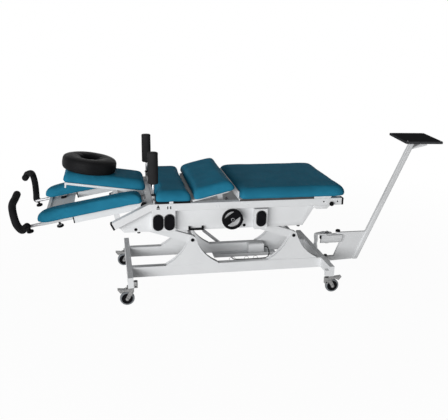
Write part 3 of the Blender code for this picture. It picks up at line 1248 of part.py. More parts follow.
def build():
    for label, side in SIDES:
        add_piece(f"base_beam_{label}", long_beam(side), WHITE_PAINT)
    add_piece("base_cross_beam_head", cross_beam(0.0, 1), WHITE_PAINT)
    add_piece("base_cross_beam_foot", foot_cross_beam(), WHITE_PAINT)
    control_gear()
    for end, x, way in ENDS:
        for label, side in SIDES:
            caster(f"{end}_{label}", x, side * CASTER_Y, way)

    shaft_reach = LONG_OUTER_Y + SHAFT_END
    for end, pin_x in (("head", HEAD_PIN_X), ("foot", FOOT_PIN_X)):
        add_piece(f"{end}_lift_frame", lift_frame(pin_x), WHITE_PAINT, (pin_x, 0, PIN_HEIGHT))
        lower = shaft(pin_x, PIN_HEIGHT, shaft_reach)
        add_piece(f"{end}_lower_shaft", lower, BARE_STEEL, (pin_x, 0, PIN_HEIGHT))
        upper_x = pin_x - LIFT_REACH
        upper = shaft(upper_x, UPPER_PIN_Z, PANEL_INNER_Y - GAP)
        add_piece(f"{end}_upper_shaft", upper, BARE_STEEL, (upper_x, 0, UPPER_PIN_Z))
    actuator()

    frame_pivot = (HEAD_UPPER_X, 0, UPPER_PIN_Z)
    for label, side in SIDES:
        add_piece(f"side_rail_{label}", side_rail(side), WHITE_PAINT, frame_pivot)
        add_piece(f"side_panel_{label}", side_panel(side), WHITE_PAINT, frame_pivot)
    reach = PANEL_INNER_Y - GAP
    hinge_tube = cylinder((HEAD_AXIS_X, -reach, HEAD_AXIS_Z), (HEAD_AXIS_X, reach, HEAD_AXIS_Z),
                          HEAD_TUBE_RADIUS)
    add_piece("head_hinge_tube", hinge_tube, BARE_STEEL, frame_pivot)
    add_piece("mid_cross_tube", mid_cross_tube(), WHITE_PAINT, frame_pivot)
    reach = RAIL_INNER_Y - GAP
    foot_tube = box(middle(FOOT_TUBE_X, FOOT_TUBE_SIZE), (-reach, reach),
                    middle(RAIL_TOP - RAIL_SIZE / 2, FOOT_TUBE_SIZE))
    add_piece("foot_cross_tube", foot_tube, WHITE_PAINT, frame_pivot)
    post_bar = box(middle(POST_X, POST_BAR[0]), (-RAIL_OUTER_Y, RAIL_OUTER_Y),
                   (POST_BAR_BOTTOM, POST_BAR_TOP))
    add_piece("armpit_bar", post_bar, BARE_STEEL, frame_pivot)
    for number, x in enumerate((*HEAD_SWITCH_X, FOOT_SWITCH_X), 1):
        rocker_switch(f"rocker_switch_{number}", x)
    handwheel()
    add_piece("lumbar_gearbox", gearbox(), GREY_STEEL, frame_pivot)
    release_handle()
    rail_plunger()

    head_section()
    thorax_section()
    lumbar_section()
    leg_section()
    arm_section()
    arm_carriage()
    for label, side in SIDES:
        hand_grip(label, side)
        armpit_post(label, side)
    traction_arm()
    traction_tray()


def centre_table():
    """Move the whole table so that its box is centred on the origin, standing on Z = 0."""
    bpy.context.view_layer.update()
    corners = []
    for piece in TABLE.children:
        corners += [piece.matrix_world @ Vector(corner) for corner in piece.bound_box]
    for axis in (0, 1):
        low = min(corner[axis] for corner in corners)
        high = max(corner[axis] for corner in corners)
        TABLE.location[axis] -= (low + high) / 2
    bpy.context.view_layer.update()


for leftover in list(bpy.data.objects):
    bpy.data.objects.remove(leftover)
TABLE = bpy.data.objects.new("table_origin", None)
bpy.context.collection.objects.link(TABLE)
build()
centre_table()
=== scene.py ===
"""Looks of the traction treatment table: finishes, soft goods and small trim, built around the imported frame.

All in metres in the frame's own axes: +X from the hand grips to the tray, +Y to the far side, +Z up.
"""
import json
import math

import bmesh
import bpy
from mathutils import Matrix, Vector, noise

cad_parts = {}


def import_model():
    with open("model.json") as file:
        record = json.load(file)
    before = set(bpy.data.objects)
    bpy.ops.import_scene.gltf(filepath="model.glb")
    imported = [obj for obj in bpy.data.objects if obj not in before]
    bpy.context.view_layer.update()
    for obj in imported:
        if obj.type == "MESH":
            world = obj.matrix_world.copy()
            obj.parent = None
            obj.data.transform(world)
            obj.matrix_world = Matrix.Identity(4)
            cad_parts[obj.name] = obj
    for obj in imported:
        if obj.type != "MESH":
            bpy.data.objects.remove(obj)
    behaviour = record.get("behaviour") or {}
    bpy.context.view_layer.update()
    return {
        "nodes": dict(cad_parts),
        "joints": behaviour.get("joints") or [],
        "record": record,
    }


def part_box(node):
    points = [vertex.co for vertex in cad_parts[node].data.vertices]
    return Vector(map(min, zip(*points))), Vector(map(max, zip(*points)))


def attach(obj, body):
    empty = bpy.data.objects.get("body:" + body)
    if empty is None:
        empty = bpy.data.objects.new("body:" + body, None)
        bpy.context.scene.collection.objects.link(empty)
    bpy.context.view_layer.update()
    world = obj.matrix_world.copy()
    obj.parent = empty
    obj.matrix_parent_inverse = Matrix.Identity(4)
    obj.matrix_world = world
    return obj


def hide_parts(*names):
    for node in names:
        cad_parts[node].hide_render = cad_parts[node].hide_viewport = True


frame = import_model()
NODES = frame["nodes"]
JOINTS = {joint["name"]: joint for joint in frame["joints"]}
BODIES = frame["record"]["behaviour"]["bodies"]
NODE_BODY = {node: body for body, nodes in BODIES.items() for node in nodes}
SIDES = (("near", -1), ("far", 1))
ENDS = ("head", "foot")

# Camera, matched to the picture
PICTURE_WIDTH = 448
FOCAL_PIXELS = 600.0
SENSOR_WIDTH = 36.0
CAMERA_PLACE = (-0.7353, -3.3570, 1.4982)
CAMERA_YAW = math.radians(11.16)
CAMERA_PITCH = math.radians(17.23)
CAMERA_ROLL = math.radians(1.16)

# Light and floor
FLOOR_SIZE = 30.0
FLOOR_DROP = 0.0004
FLOOR_GLOW = 0.965
FLOOR_FADE = (1.3, 3.2)
FLOOR_COLOUR = (0.86, 0.86, 0.86)
FLOOR_ROUGHNESS = 0.9
WORLD_FILL = 0.15
KEY_PLACE = (-6.0, -8.0, 1.80)
KEY_SIZE = (9.0, 3.0)
KEY_POWER = 915.0
LIGHT_AIM = (0.0, 0.0, 0.45)

# Middle range of a noise pattern
PATTERN_RANGE = (0.3, 0.7)

# Mesh fineness
ROUND = 48
SMALL_ROUND = 32
CORNER_STEPS = 6
BEVEL_STEPS = 2
MERGE = 1e-5
FLAT_ANGLE = math.radians(1.5)
BEVEL_ANGLE = math.radians(32.0)
SHARP_ANGLE = math.radians(50.0)
LONG_EDGE = 0.45
TUBE_CORNER_STEPS = 4

# Tilts of the sections at rest
ARM_TILT = math.radians(-10.2)
HEAD_TILT = math.radians(8.26)
LUMBAR_TILT = math.radians(-13.5)
SLANT_ANGLE = math.radians(26.5)
TRAY_TURN = math.radians(-6.5)

# Cushions
CUSHION_INSET = 0.0055
CUSHION_CAP = 0.0065
CUSHION_ROLL = (0.034, 0.054)
ARM_ROLL = (0.046, 0.030)
CUSHION_RISE = 0.86
CUSHION_TUCK = 0.004
CUSHION_FRAMES = 20
CUSHION_PRESSURE = 4.0
CUSHION_SMOOTHING = 6
LAST_SMOOTHING = 2
PUCKER_DEPTH = 0.0009
PUCKER_SIZE = 0.045
PUCKER_EVERYWHERE = 0.35

# Cushion plans: corner radius at the head end, corner radius at the foot end, and mesh size
PAD_PLANS = {
    "head_pad": (0.028, 0.034, 0.006),
    "arm_pad": (0.070, 0.020, 0.005),
    "thorax_pad": (0.022, 0.022, 0.007),
    "lumbar_pad": (0.022, 0.022, 0.007),
    "leg_pad": (0.022, 0.055, 0.007),
}

# Ring cushion for the face
RING_HOLE = 0.044
RING_SQUARE = 0.55
RING_SINK = 0.007
RING_DRAW = (0.006, 0.011)
RING_MESH = 0.005
RING_BAND = 0.03
FOLD_WAVES = 5.5
FOLD_DRIFT = 1.3
FOLD_CELLS = 3
FOLD_SEED = 0.4
FOLD_DEPTH = 0.0030
SEAM_LIFT = 0.004
SEAM_WIDTH = 0.0035
SEAM_DEPTH = 0.0012
WRINKLE_CELLS = (14, 14, 90)
WRINKLE_DEPTH = 0.0016

# Hand grips; the route of the foam is written for the far one and mirrored for the near one
GRIP_ROUTE = (
    (-0.519, 0.2435, 0.470), (-0.530, 0.272, 0.468), (-0.538, 0.345, 0.480), (-0.550, 0.418, 0.535),
    (-0.563, 0.412, 0.590), (-0.577, 0.325, 0.609), (-0.574, 0.240, 0.617), (-0.572, 0.165, 0.624),
)
GRIP_ROUTE_PIVOT = -0.5290
ROUTE_STEPS = 8
GRIP_FOAM_RADIUS = 0.019
GRIP_STEEL_RADIUS = 0.0083
GRIP_END = 0.010
GRIP_TIP_SHARE = 0.55
GRIP_SWELL = 0.03
GRIP_SWELL_CELLS = 22.0
GRIP_SEED = 0.3
GRIP_TUBE_LEAD = 0.004
GRIP_TUBE_REACH = 0.110
GRIP_KNOB_ALONG = 0.013
GRIP_KNOB_DROP = 0.008

# Armpit posts
ROLL_LENGTH = 0.169
ROLL_EDGE = 0.006
ROLL_EDGE_TURNS = (0.0, 0.4, 0.8, 1.2, math.pi / 2)
ROLL_STEPS = 10
ROLL_BELLY = 0.0006
ROLL_DISH = (0.0004, 0.0012)
POST_BLOCK_HEIGHT = 0.038
POST_BLOCK_HALF = 0.008
POST_BLOCK_REACH = 0.015
POST_BLOCK_EDGE = 0.0010
POST_BLOCK_LIFT = 0.0004
POST_SLOT_PLAY = 0.001
POST_ROD_RADIUS = 0.0067
POST_ROD_SEAT = 0.004
POST_COLLAR_SEAT = 0.0005

# Rounding of the rigid pieces' edges
RAIL_EDGE = 0.0028
BEAM_EDGE = 0.0024
SHEET_EDGE = 0.0012
FINE_EDGE = 0.0008
GEARBOX_EDGE = 0.0025
LEVER_EDGE = 0.0022
HANDWHEEL_EDGE = 0.0028
TRAY_EDGE = 0.0030
SWING_ARM_EDGE = 0.0022
MAST_CORNER = 0.0095

# Casters: steps of the tread's profile from its bore, its rim and its side, and of the centre's face
TYRE_INNER = 0.0305
TREAD_BORE_STEPS = ((0.0, 0.003), (0.002, 0.0015))
TREAD_RIM_STEPS = ((0.006, 0.0015), (0.002, 0.0035), (0.0, 0.008))
HUB_STEPS = ((0.0055, 0.0), (0.0115, 0.0), (0.0135, 0.004), (0.0240, 0.005), (0.0275, 0.0025))
HUB_OVERLAP = 0.0004
HUB_RIM_DRAW = 0.0028
NUT_REACH = 0.0175
NUT_SIDES = 6

# Stop tabs
TAB_TOP = 0.0375
TAB_LENGTH = 0.022
TAB_WIDTH = 0.022
TAB_SKIN = 0.0006
TAB_EDGE = 0.0012
TAB_PAD_INSET = 0.004
TAB_PAD_SEAT = 0.0002
TAB_PAD_HEIGHT = 0.003

# Bolts and screws; the head's profile is in shares of its radius and of its height
BOLT_RADIUS = 0.0085
PYLON_BOLT_RADIUS = 0.0097
SCREW_RADIUS = 0.0042
TRAY_SCREW_RADIUS = 0.00336
BOLT_HEIGHT_SHARE = 0.55
BOLT_SHARES = ((0.0, 0.35), (0.45, 0.35), (0.45, 1.0), (0.62, 1.0), (0.88, 0.72), (1.0, 0.25))
BOLT_SEAT = 0.0006
BOLT_SINK = 0.0002
RAIL_SCREWS = ((-0.179, 0.5585), (-0.162, 0.5585), (-0.001, 0.558))
PLUNGER_SCREWS = ((0.4324, 0.5616), (0.5131, 0.5609))
TRAY_SCREW_X = 0.1
TRAY_SCREW_Y = 0.137

# Plugs and collars
CAP_PROUD = 0.0100
CAP_SEAT = 0.0010
CAP_EDGE = 0.002
STUB_REACH = 0.046
STUB_Y = (-0.0308, -0.0072)
STUB_Z = (0.2308, 0.2536)
STUB_EDGE = 0.0015
COLLAR_HEIGHT = 0.042
COLLAR_PROUD = 0.0006
COLLAR_TOP_PLAY = 0.0001
COLLAR_CORNER = 0.003
COLLAR_BORE = 0.0108
COLLAR_SEAT = 0.0015
COLLAR_THICKNESS = 0.006
COLLAR_EDGE = 0.0006

# Panel borders: insets of the corners from the panel's ends and its lower edge, then from its ends and the
# rail, then the head corner's inset and its height
RAIL_HEIGHT = 0.040
BORDER_OUTER = ((0.036, 0.0755, 0.001), (0.184, 0.0015, 0.0), (0.003, 0.4525))
BORDER_INNER = ((0.0455, 0.088, 0.029), (0.181, 0.050, 0.010), (0.0455, 0.4593))
BORDER_PROUD = 0.0008
BORDER_EDGE = 0.0003
PANEL_FEET = {"head": -0.5925, "foot": 0.3051}
PANEL_FOOT_INSET = 0.003

# Switches; a key's steps are a share of its depth and how far its outline is drawn in there
KEY_STEPS = ((0.0, 0.0), (0.60, 0.0), (0.80, 0.0006), (0.93, 0.0020), (1.0, 0.0045), (1.0, 0.0100))
KEY_DISH = 0.0020
BEZEL_RIM = 0.007
BEZEL_PLAY = 0.0012
BEZEL_PROUD = 0.0045
BEZEL_EDGE = 0.0012
MARK_SEAT = 0.0004
MARK_PROUD = 0.0006
MARK_EDGE = 0.0002
LIFT_MARK_X = (-0.4985, -0.4807)
LIFT_ARROW_Z = (0.5590, 0.5765)
LIFT_BAR_Z = (0.5515, 0.5565)
TILT_MARK_X = {"a": -0.4390, "b": -0.4235}
TILT_MARK_HALF = 0.0030
TILT_MARK_Z = (0.5515, 0.5665)

# Handwheel, rail lock and swing arm
HUB_RING_OUT = 0.003
LOCK_OUTLINE = ((0.3735, 0.5397), (0.3790, 0.5270), (0.3945, 0.5195), (0.4550, 0.5195), (0.4740, 0.5397))
LOCK_Y = (-0.3095, -0.2850)
LOCK_EDGE = 0.0015
SWING_CAP_DROP = 0.0095
SWING_CAP_LOW = 0.1088
SWING_KNOB_PLACE = (0.6581, 0.0, 0.2630)
CARRIAGE_KNOB_BACK = 0.452
CARRIAGE_KNOB_DROP = 0.0105
CARRIAGE_CAP_Y = 0.181
CARRIAGE_CAP_LIFT = 0.0025

# Boards and strips
BOARD_INSET = 0.002
BOARD_DRAW = 0.003
BOARD_PLAY = (0.0004, 0.0002)
BOARD_EDGE = 0.0015
CLIP_X = (-0.431, -0.409)
CLIP_PROUD = 0.0030
CLIP_PLAY = 0.0010
CLIP_EDGE = 0.0010
STRIP_SEAT = 0.001
STRIP_PROUD = 0.0024
STRIP_DRAW = (0.004, 0.100)
STRIP_PLAY = (0.0006, 0.001)
STRIP_EDGE = 0.0008

# Control lead, its ties (middle in X and Z, half width and half height) and the box's trim
LEAD_ROUTE = (
    (0.206, 0.108, 0.149), (0.220, 0.108, 0.149), (0.230, 0.088, 0.151), (0.230, 0.053, 0.141),
    (0.228, 0.042, 0.121), (0.218, 0.042, 0.105), (0.196, 0.043, 0.099), (0.155, 0.043, 0.098),
    (0.077, 0.044, 0.097), (0.018, 0.047, 0.098), (0.000, 0.061, 0.099), (-0.002, 0.121, 0.099),
    (-0.002, 0.175, 0.100), (-0.002, 0.186, 0.107), (-0.004, 0.188, 0.129),
)
LEAD_RADIUS = 0.003
LEAD_SIDES = 16
LEAD_TIES = (
    (-0.006, 0.1015, 0.019, 0.0125), (0.085, 0.1045, 0.013, 0.0095), (0.143, 0.1045, 0.013, 0.0095),
)
TIE_Y = 0.046
TIE_RADIUS = 0.0010
TIE_SIDES = 8
GLAND_SEAT = 0.0005
LID_INSET = 0.004
LID_SEAT = 0.0005
LID_HEIGHT = 0.0025
LID_EDGE = 0.0012

# Turned profiles, as pairs of radius and height
KNOB_PROFILE = (
    (0.0060, -0.004), (0.0060, 0.0115), (0.0145, 0.0130), (0.0178, 0.0165), (0.0186, 0.0205),
    (0.0174, 0.0250), (0.0130, 0.0275), (0.0, 0.0282),
)
ARM_CAP_PROFILE = (
    (0.0, 0.0092), (0.0120, 0.0088), (0.0162, 0.0066), (0.0172, 0.0036), (0.0160, 0.0), (0.0, 0.0),
)
POST_COLLAR_PROFILE = (
    (0.0, 0.0), (0.0105, 0.0), (0.0115, 0.0015), (0.0115, 0.006), (0.0100, 0.0075), (0.0, 0.0075),
)
NUT_PROFILE = ((0.0, 0.005), (0.0055, 0.005), (0.0072, 0.0035), (0.0072, -0.0005), (0.0, -0.0005))
HINGE_CAP_PROFILE = ((0.0, 0.0002), (0.0188, 0.0002), (0.0195, -0.0001), (0.0195, -0.0006), (0.0, -0.0006))
PANEL_FOOT_PROFILE = ((0.0, 0.001), (0.0085, 0.001), (0.0090, -0.003), (0.0080, -0.0055), (0.0, -0.006))
HUB_RING_PROFILE = ((0.0070, 0.0), (0.0074, 0.0011), (0.0084, 0.0013), (0.0092, 0.0009), (0.0096, 0.0))
PLUNGER_PROFILE = (
    (0.0, 0.0185), (0.0085, 0.0183), (0.0108, 0.0170), (0.0125, 0.0120), (0.0125, 0.0060), (0.0115, 0.0045),
    (0.0072, 0.0040), (0.0072, 0.0003), (0.0, 0.0003),
)
SWING_CAP_PROFILE = (
    (0.0, 0.0105), (0.0070, 0.0100), (0.0105, 0.0075), (0.0112, 0.0030), (0.0112, 0.0002), (0.0, 0.0002),
)
SWING_KNOB_PROFILE = (
    (0.0, 0.0185), (0.0100, 0.0180), (0.0140, 0.0155), (0.0152, 0.0110), (0.0148, 0.0050), (0.0120, 0.0004),
    (0.0, 0.0004),
)
GLAND_PROFILE = (
    (0.0, 0.0), (0.0075, 0.0), (0.0075, 0.004), (0.0055, 0.006), (0.0042, 0.0085), (0.0, 0.0085),
)


# Materials

def principled(name, colour, roughness, metallic=0.0, specular=0.5):
    surface = bpy.data.materials.new(name)
    surface.use_nodes = True
    shader = surface.node_tree.nodes["Principled BSDF"]
    shader.inputs["Base Color"].default_value = (*colour, 1.0)
    shader.inputs["Roughness"].default_value = roughness
    shader.inputs["Metallic"].default_value = metallic
    shader.inputs["Specular IOR Level"].default_value = specular
    return surface


def pattern(surface, kind, scale, stretch=(1, 1, 1)):
    """A procedural pattern in the piece's own coordinates; scale is cells in a metre."""
    tree = surface.node_tree
    place = tree.nodes.new("ShaderNodeTexCoord")
    mapping = tree.nodes.new("ShaderNodeMapping")
    mapping.inputs["Scale"].default_value = stretch
    tree.links.new(place.outputs["Object"], mapping.inputs["Vector"])
    texture = tree.nodes.new(kind)
    texture.inputs["Scale"].default_value = scale
    tree.links.new(mapping.outputs["Vector"], texture.inputs["Vector"])
    return texture


def cloudy(surface, scale, detail, stretch=(1, 1, 1)):
    texture = pattern(surface, "ShaderNodeTexNoise", scale, stretch)
    texture.inputs["Detail"].default_value = detail
    return texture.outputs[0]


def pebbled(surface, scale):
    return pattern(surface, "ShaderNodeTexVoronoi", scale).outputs[0]


def spread(surface, source, low, high):
    """A pattern's middle range stretched to low and high."""
    ramp = surface.node_tree.nodes.new("ShaderNodeMapRange")
    ramp.inputs["From Min"].default_value, ramp.inputs["From Max"].default_value = PATTERN_RANGE
    ramp.inputs["To Min"].default_value = low
    ramp.inputs["To Max"].default_value = high
    surface.node_tree.links.new(source, ramp.inputs["Value"])
    return ramp.outputs["Result"]


def tint(surface, source, dark, light):
    """Base colour that wanders between two colours with a pattern."""
    tree = surface.node_tree
    mix = tree.nodes.new("ShaderNodeMix")
    mix.data_type = "RGBA"
    mix.inputs["A"].default_value = (*dark, 1.0)
    mix.inputs["B"].default_value = (*light, 1.0)
    tree.links.new(spread(surface, source, 0.0, 1.0), mix.inputs["Factor"])
    tree.links.new(mix.outputs["Result"], tree.nodes["Principled BSDF"].inputs["Base Color"])


def gloss(surface, source, low, high):
    tree = surface.node_tree
    result = spread(surface, source, low, high)
    tree.links.new(result, tree.nodes["Principled BSDF"].inputs["Roughness"])


def relief(surface, sources, distance, strength):
    """Bump from one or more patterns laid over each other."""
    tree = surface.node_tree
    normal = None
    for source, share in sources:
        node = tree.nodes.new("ShaderNodeBump")
        node.inputs["Strength"].default_value = strength * share
        node.inputs["Distance"].default_value = distance
        tree.links.new(source, node.inputs["Height"])
        if normal is not None:
            tree.links.new(normal, node.inputs["Normal"])
        normal = node.outputs["Normal"]
    tree.links.new(normal, tree.nodes["Principled BSDF"].inputs["Normal"])


def white_paint():
    """Satin powder coat with a faint orange peel and a little handling grime."""
    surface = principled("white_powder_coat", (0.76, 0.77, 0.78), 0.38, specular=0.02)
    tint(surface, cloudy(surface, 5.0, 6.0), (0.74, 0.75, 0.76), (0.78, 0.79, 0.80))
    gloss(surface, cloudy(surface, 23.0, 4.0), 0.33, 0.45)
    relief(surface, [(cloudy(surface, 620.0, 2.0), 1.0)], 0.0004, 0.035)
    return surface


def vinyl(name, dark, light, low, high, grain, strength, specular=0.004):
    """Embossed upholstery vinyl: pebble grain over a slower unevenness."""
    surface = principled(name, light, high, specular=specular)
    tint(surface, cloudy(surface, 9.0, 5.0), dark, light)
    gloss(surface, cloudy(surface, 60.0, 3.0), low, high)
    pebble = pebbled(surface, grain)
    fine = cloudy(surface, grain * 1.7, 3.0)
    relief(surface, [(pebble, 1.0), (fine, 0.6)], 0.0005, strength)
    return surface


def foam_rubber(name, colour, roughness, cells):
    """Closed-cell foam: matt, with a fine pitted skin."""
    surface = principled(name, colour, roughness, specular=0.02)
    light = tuple(channel * 1.7 for channel in colour)
    tint(surface, cloudy(surface, cells / 2, 4.0), colour, light)
    gloss(surface, cloudy(surface, cells / 4, 3.0), roughness - 0.08, roughness + 0.08)
    relief(surface, [(pebbled(surface, cells), 1.0)], 0.0004, 0.35)
    return surface


def moulded_plastic(name, colour, roughness, specular, texture=0.25):
    """Moulded plastic with a fine spark-eroded texture."""
    surface = principled(name, colour, roughness, specular=specular)
    light = tuple(channel * 1.4 for channel in colour)
    tint(surface, cloudy(surface, 35.0, 4.0), colour, light)
    gloss(surface, cloudy(surface, 140.0, 3.0), roughness - 0.06, roughness + 0.06)
    relief(surface, [(cloudy(surface, 1500.0, 1.0), 1.0)], 0.0002, texture)
    return surface


def ground_steel(name, colour, low, high, stretch):
    """Bare steel with drawn lines along one axis."""
    surface = principled(name, colour, low, 1.0)
    light = tuple(min(1.0, channel * 1.18) for channel in colour)
    tint(surface, cloudy(surface, 40.0, 5.0), colour, light)
    lines = cloudy(surface, 700.0, 2.0, stretch)
    gloss(surface, lines, low, high)
    relief(surface, [(lines, 1.0)], 0.0002, 0.12)
    return surface


def zinc_plate():
    """Zinc-plated sheet with a faint spangle."""
    surface = principled("zinc_plate", (0.22, 0.22, 0.22), 0.40, 0.80)
    spangle = pebbled(surface, 140.0)
    tint(surface, spangle, (0.19, 0.19, 0.19), (0.30, 0.30, 0.30))
    gloss(surface, cloudy(surface, 90.0, 4.0), 0.28, 0.50)
    relief(surface, [(cloudy(surface, 900.0, 2.0), 1.0)], 0.0002, 0.12)
    return surface


LOOKS = {
    "white": (white_paint(), "white_paint"),
    "teal": (
        vinyl("teal_vinyl", (0.018, 0.165, 0.270), (0.023, 0.205, 0.330), 0.40, 0.52, 620.0, 0.22),
        "teal_vinyl",
    ),
    "black_vinyl": (
        vinyl("black_vinyl", (0.011, 0.011, 0.012), (0.019, 0.019, 0.020), 0.28, 0.42, 700.0, 0.18, 0.012),
        "black_vinyl",
    ),
    # Black vinyl made lighter for the armpit rolls: a painted highlight, standing in for the soft sheen the
    # key lamp puts down their middle.
    "black_vinyl_painted_highlight": (
        vinyl("black_vinyl_painted_highlight", (0.022, 0.022, 0.023), (0.032, 0.032, 0.033), 0.40, 0.55, 700.0, 0.18),
        "black_vinyl",
    ),
    "foam": (foam_rubber("black_foam", (0.010, 0.010, 0.011), 0.72, 900.0), "black_rubber"),
    "rubber": (foam_rubber("black_rubber", (0.011, 0.011, 0.012), 0.60, 500.0), "black_rubber"),
    "plastic": (moulded_plastic("black_plastic", (0.007, 0.007, 0.008), 0.40, 0.012), "black_plastic"),
    # The tray's black plastic made lighter and without gloss: a painted sheen, standing in for the pale
    # reflection its top shows at a low angle.
    "tray_painted_sheen": (moulded_plastic("black_plastic_painted_sheen", (0.040, 0.041, 0.044), 0.75, 0.0, 0.04), "black_plastic"),
    "strip": (moulded_plastic("dark_strip", (0.060, 0.060, 0.062), 0.48, 0.05), "black_plastic"),
    "tyre": (foam_rubber("grey_tyre", (0.15, 0.16, 0.17), 0.62, 420.0), "grey_tyre"),
    "steel": (ground_steel("ground_steel", (0.34, 0.34, 0.35), 0.40, 0.55, (1.0, 0.04, 1.0)), "bare_steel"),
    "steel_upright": (
        ground_steel("ground_steel_upright", (0.36, 0.36, 0.37), 0.28, 0.44, (1.0, 1.0, 0.04)),
        "bare_steel",
    ),
    "zinc": (zinc_plate(), "zinc_steel"),
}


# Mesh helpers

def to_mesh(shape):
    """A mesh from a bmesh, with outward faces and its creases kept sharp."""
    bmesh.ops.remove_doubles(shape, verts=shape.verts, dist=MERGE)
    bmesh.ops.recalc_face_normals(shape, faces=shape.faces)
    mesh = bpy.data.meshes.new("shape")
    shape.to_mesh(mesh)
    shape.free()
    mesh.shade_smooth()
    mesh.set_sharp_from_angle(angle=SHARP_ANGLE)
    return mesh


def add(name, mesh, look, body, replaced=()):
    """A piece of the object: named, finished and riding on its body."""
    surface, slot = LOOKS[look]
    mesh.name = name
    mesh.materials.clear()
    mesh.materials.append(surface)
    piece = bpy.data.objects.new(name, mesh)
    bpy.context.scene.collection.objects.link(piece)
    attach(piece, body)
    if replaced:
        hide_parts(*replaced)
    return piece


def rigid(name, mesh, look, body, replaced=()):
    """A hard piece, whose flat faces are shaded flat up to their rounded edges."""
    piece = add(name, mesh, look, body, replaced)
    flatness = piece.modifiers.new("flat_faces", "WEIGHTED_NORMAL")
    flatness.keep_sharp = True
    flatness.use_face_influence = True
    return piece


def bevelled(shape, width, steps=BEVEL_STEPS, shortest=0.0):
    """Round every crease of a bmesh that is sharper than the bevel angle and not too short."""
    creases = []
    for edge in shape.edges:
        if edge.is_manifold and edge.calc_face_angle(0.0) > BEVEL_ANGLE and edge.calc_length() > shortest:
            creases.append(edge)
    bmesh.ops.bevel(shape, geom=creases, offset=width, segments=steps, profile=0.5, affect="EDGES",
                    clamp_overlap=True, face_strength_mode="ALL")
    return shape


def dressed(node, width, look, tube_corner=None):
    """A packed rigid node with its edges rounded over and a real finish; a tube has rounder long edges."""
    shape = bmesh.new()
    shape.from_mesh(NODES[node].data)
    bmesh.ops.remove_doubles(shape, verts=shape.verts, dist=MERGE)
    bmesh.ops.dissolve_limit(shape, angle_limit=FLAT_ANGLE, verts=shape.verts, edges=shape.edges)
    if tube_corner:
        bevelled(shape, tube_corner, TUBE_CORNER_STEPS, LONG_EDGE)
    mesh = to_mesh(bevelled(shape, width))
    return rigid(f"{node}_finish", mesh, look, NODE_BODY[node], [node])


def skin(rings, closed=False):
    """A bmesh over equal rings of points, with its ends capped or joined to each other."""
    shape = bmesh.new()
    loops = [[shape.verts.new(point) for point in ring] for ring in rings]
    pairs = list(zip(loops, loops[1:] + loops[:1] if closed else loops[1:]))
    for low, high in pairs:
        for i in range(len(low)):
            j = (i + 1) % len(low)
            shape.faces.new((low[i], low[j], high[j], high[i]))
    if not closed:
        shape.faces.new(loops[0][::-1])
        shape.faces.new(loops[-1])
    return shape


def circle(radius, height, sides):
    turns = [2 * math.pi * i / sides for i in range(sides)]
    return [Vector((radius * math.cos(turn), radius * math.sin(turn), height)) for turn in turns]


def lathe(profile, centre, axis, sides=SMALL_ROUND, closed=False):
    """A turned shape from (radius, height) pairs along an axis through a point."""
    turn = Vector(axis).to_track_quat("Z", "Y").to_matrix().to_4x4()
    shape = skin([circle(radius, height, sides) for radius, height in profile], closed)
    shape.transform(Matrix.Translation(centre) @ turn)
    return to_mesh(shape)


def rod(start, end, radius, edge=0.0008, sides=SMALL_ROUND):
    """A round bar with softened ends."""
    length = (Vector(end) - Vector(start)).length
    profile = [(radius - edge, 0.0), (radius, edge), (radius, length - edge), (radius - edge, length)]
    return lathe(profile, start, Vector(end) - Vector(start), sides)


def block(x, y, z, radius, turn=Matrix.Identity(4), steps=3):
    """A box between two levels of each axis, with rounded edges, turned into place."""
    shape = bmesh.new()
    bmesh.ops.create_cube(shape, size=1.0)
    low, high = (Vector(corner) for corner in zip(x, y, z))
    shape.transform(Matrix.Translation((high + low) / 2) @ Matrix.Diagonal((*(high - low), 1.0)))
    bevelled(shape, radius, steps)
    shape.transform(turn)
    return to_mesh(shape)


def prism(outline, y, radius):
    """An outline in X and Z between two Y levels, with rounded edges."""
    shape = skin([[(px, level, pz) for px, pz in outline] for level in y])
    bmesh.ops.recalc_face_normals(shape, faces=shape.faces)
    return to_mesh(bevelled(shape, radius))


def ring_plate(outer, inner, thickness, radius, turn=Matrix.Identity(4)):
    """A flat ring between two outlines of as many points, drawn in X and Z and standing out along -Y."""
    rings = []
    for outline, level in ((outer, 0.0), (outer, -thickness), (inner, -thickness), (inner, 0.0)):
        rings.append([(px, level, pz) for px, pz in outline])
    shape = skin(rings, closed=True)
    bmesh.ops.recalc_face_normals(shape, faces=shape.faces)
    bevelled(shape, radius)
    shape.transform(turn)
    return to_mesh(shape)


def arc(centre, radius, start, end, steps=CORNER_STEPS):
    turns = [start + (end - start) * i / steps for i in range(steps + 1)]
    return [(centre[0] + radius * math.cos(a), centre[1] + radius * math.sin(a)) for a in turns]


def rounded_rectangle(x, y, left, right):
    """A rectangle with one corner radius at its low-X end and another at its high-X end."""
    quarter = math.pi / 2
    corners = (
        ((x[1] - right, y[1] - right), right, 0.0), ((x[0] + left, y[1] - left), left, quarter),
        ((x[0] + left, y[0] + left), left, 2 * quarter), ((x[1] - right, y[0] + right), right, 3 * quarter),
    )
    points = []
    for centre, radius, start in corners:
        points += arc(centre, radius, start, start + quarter)
    return points


def stadium(centre, width, height):
    """An upright oval with straight sides."""
    straight = (height - width) / 2
    top = arc((centre[0], centre[1] + straight), width / 2, 0.0, math.pi, 2 * CORNER_STEPS)
    return top + arc((centre[0], centre[1] - straight), width / 2, math.pi, 2 * math.pi, 2 * CORNER_STEPS)


def smooth_path(points, per_span):
    """Points along a smooth curve through the given ones."""
    path = [Vector(p) for p in points]
    ends = [2 * path[0] - path[1]] + path + [2 * path[-1] - path[-2]]
    result = []
    for a, b, c, d in zip(ends, ends[1:], ends[2:], ends[3:]):
        for step in range(per_span):
            t = step / per_span
            result.append(0.5 * (2 * b + (c - a) * t + (2 * a - 5 * b + 4 * c - d) * t ** 2
                                 + (3 * b - a - 3 * c + d) * t ** 3))
    return result + [path[-1]]


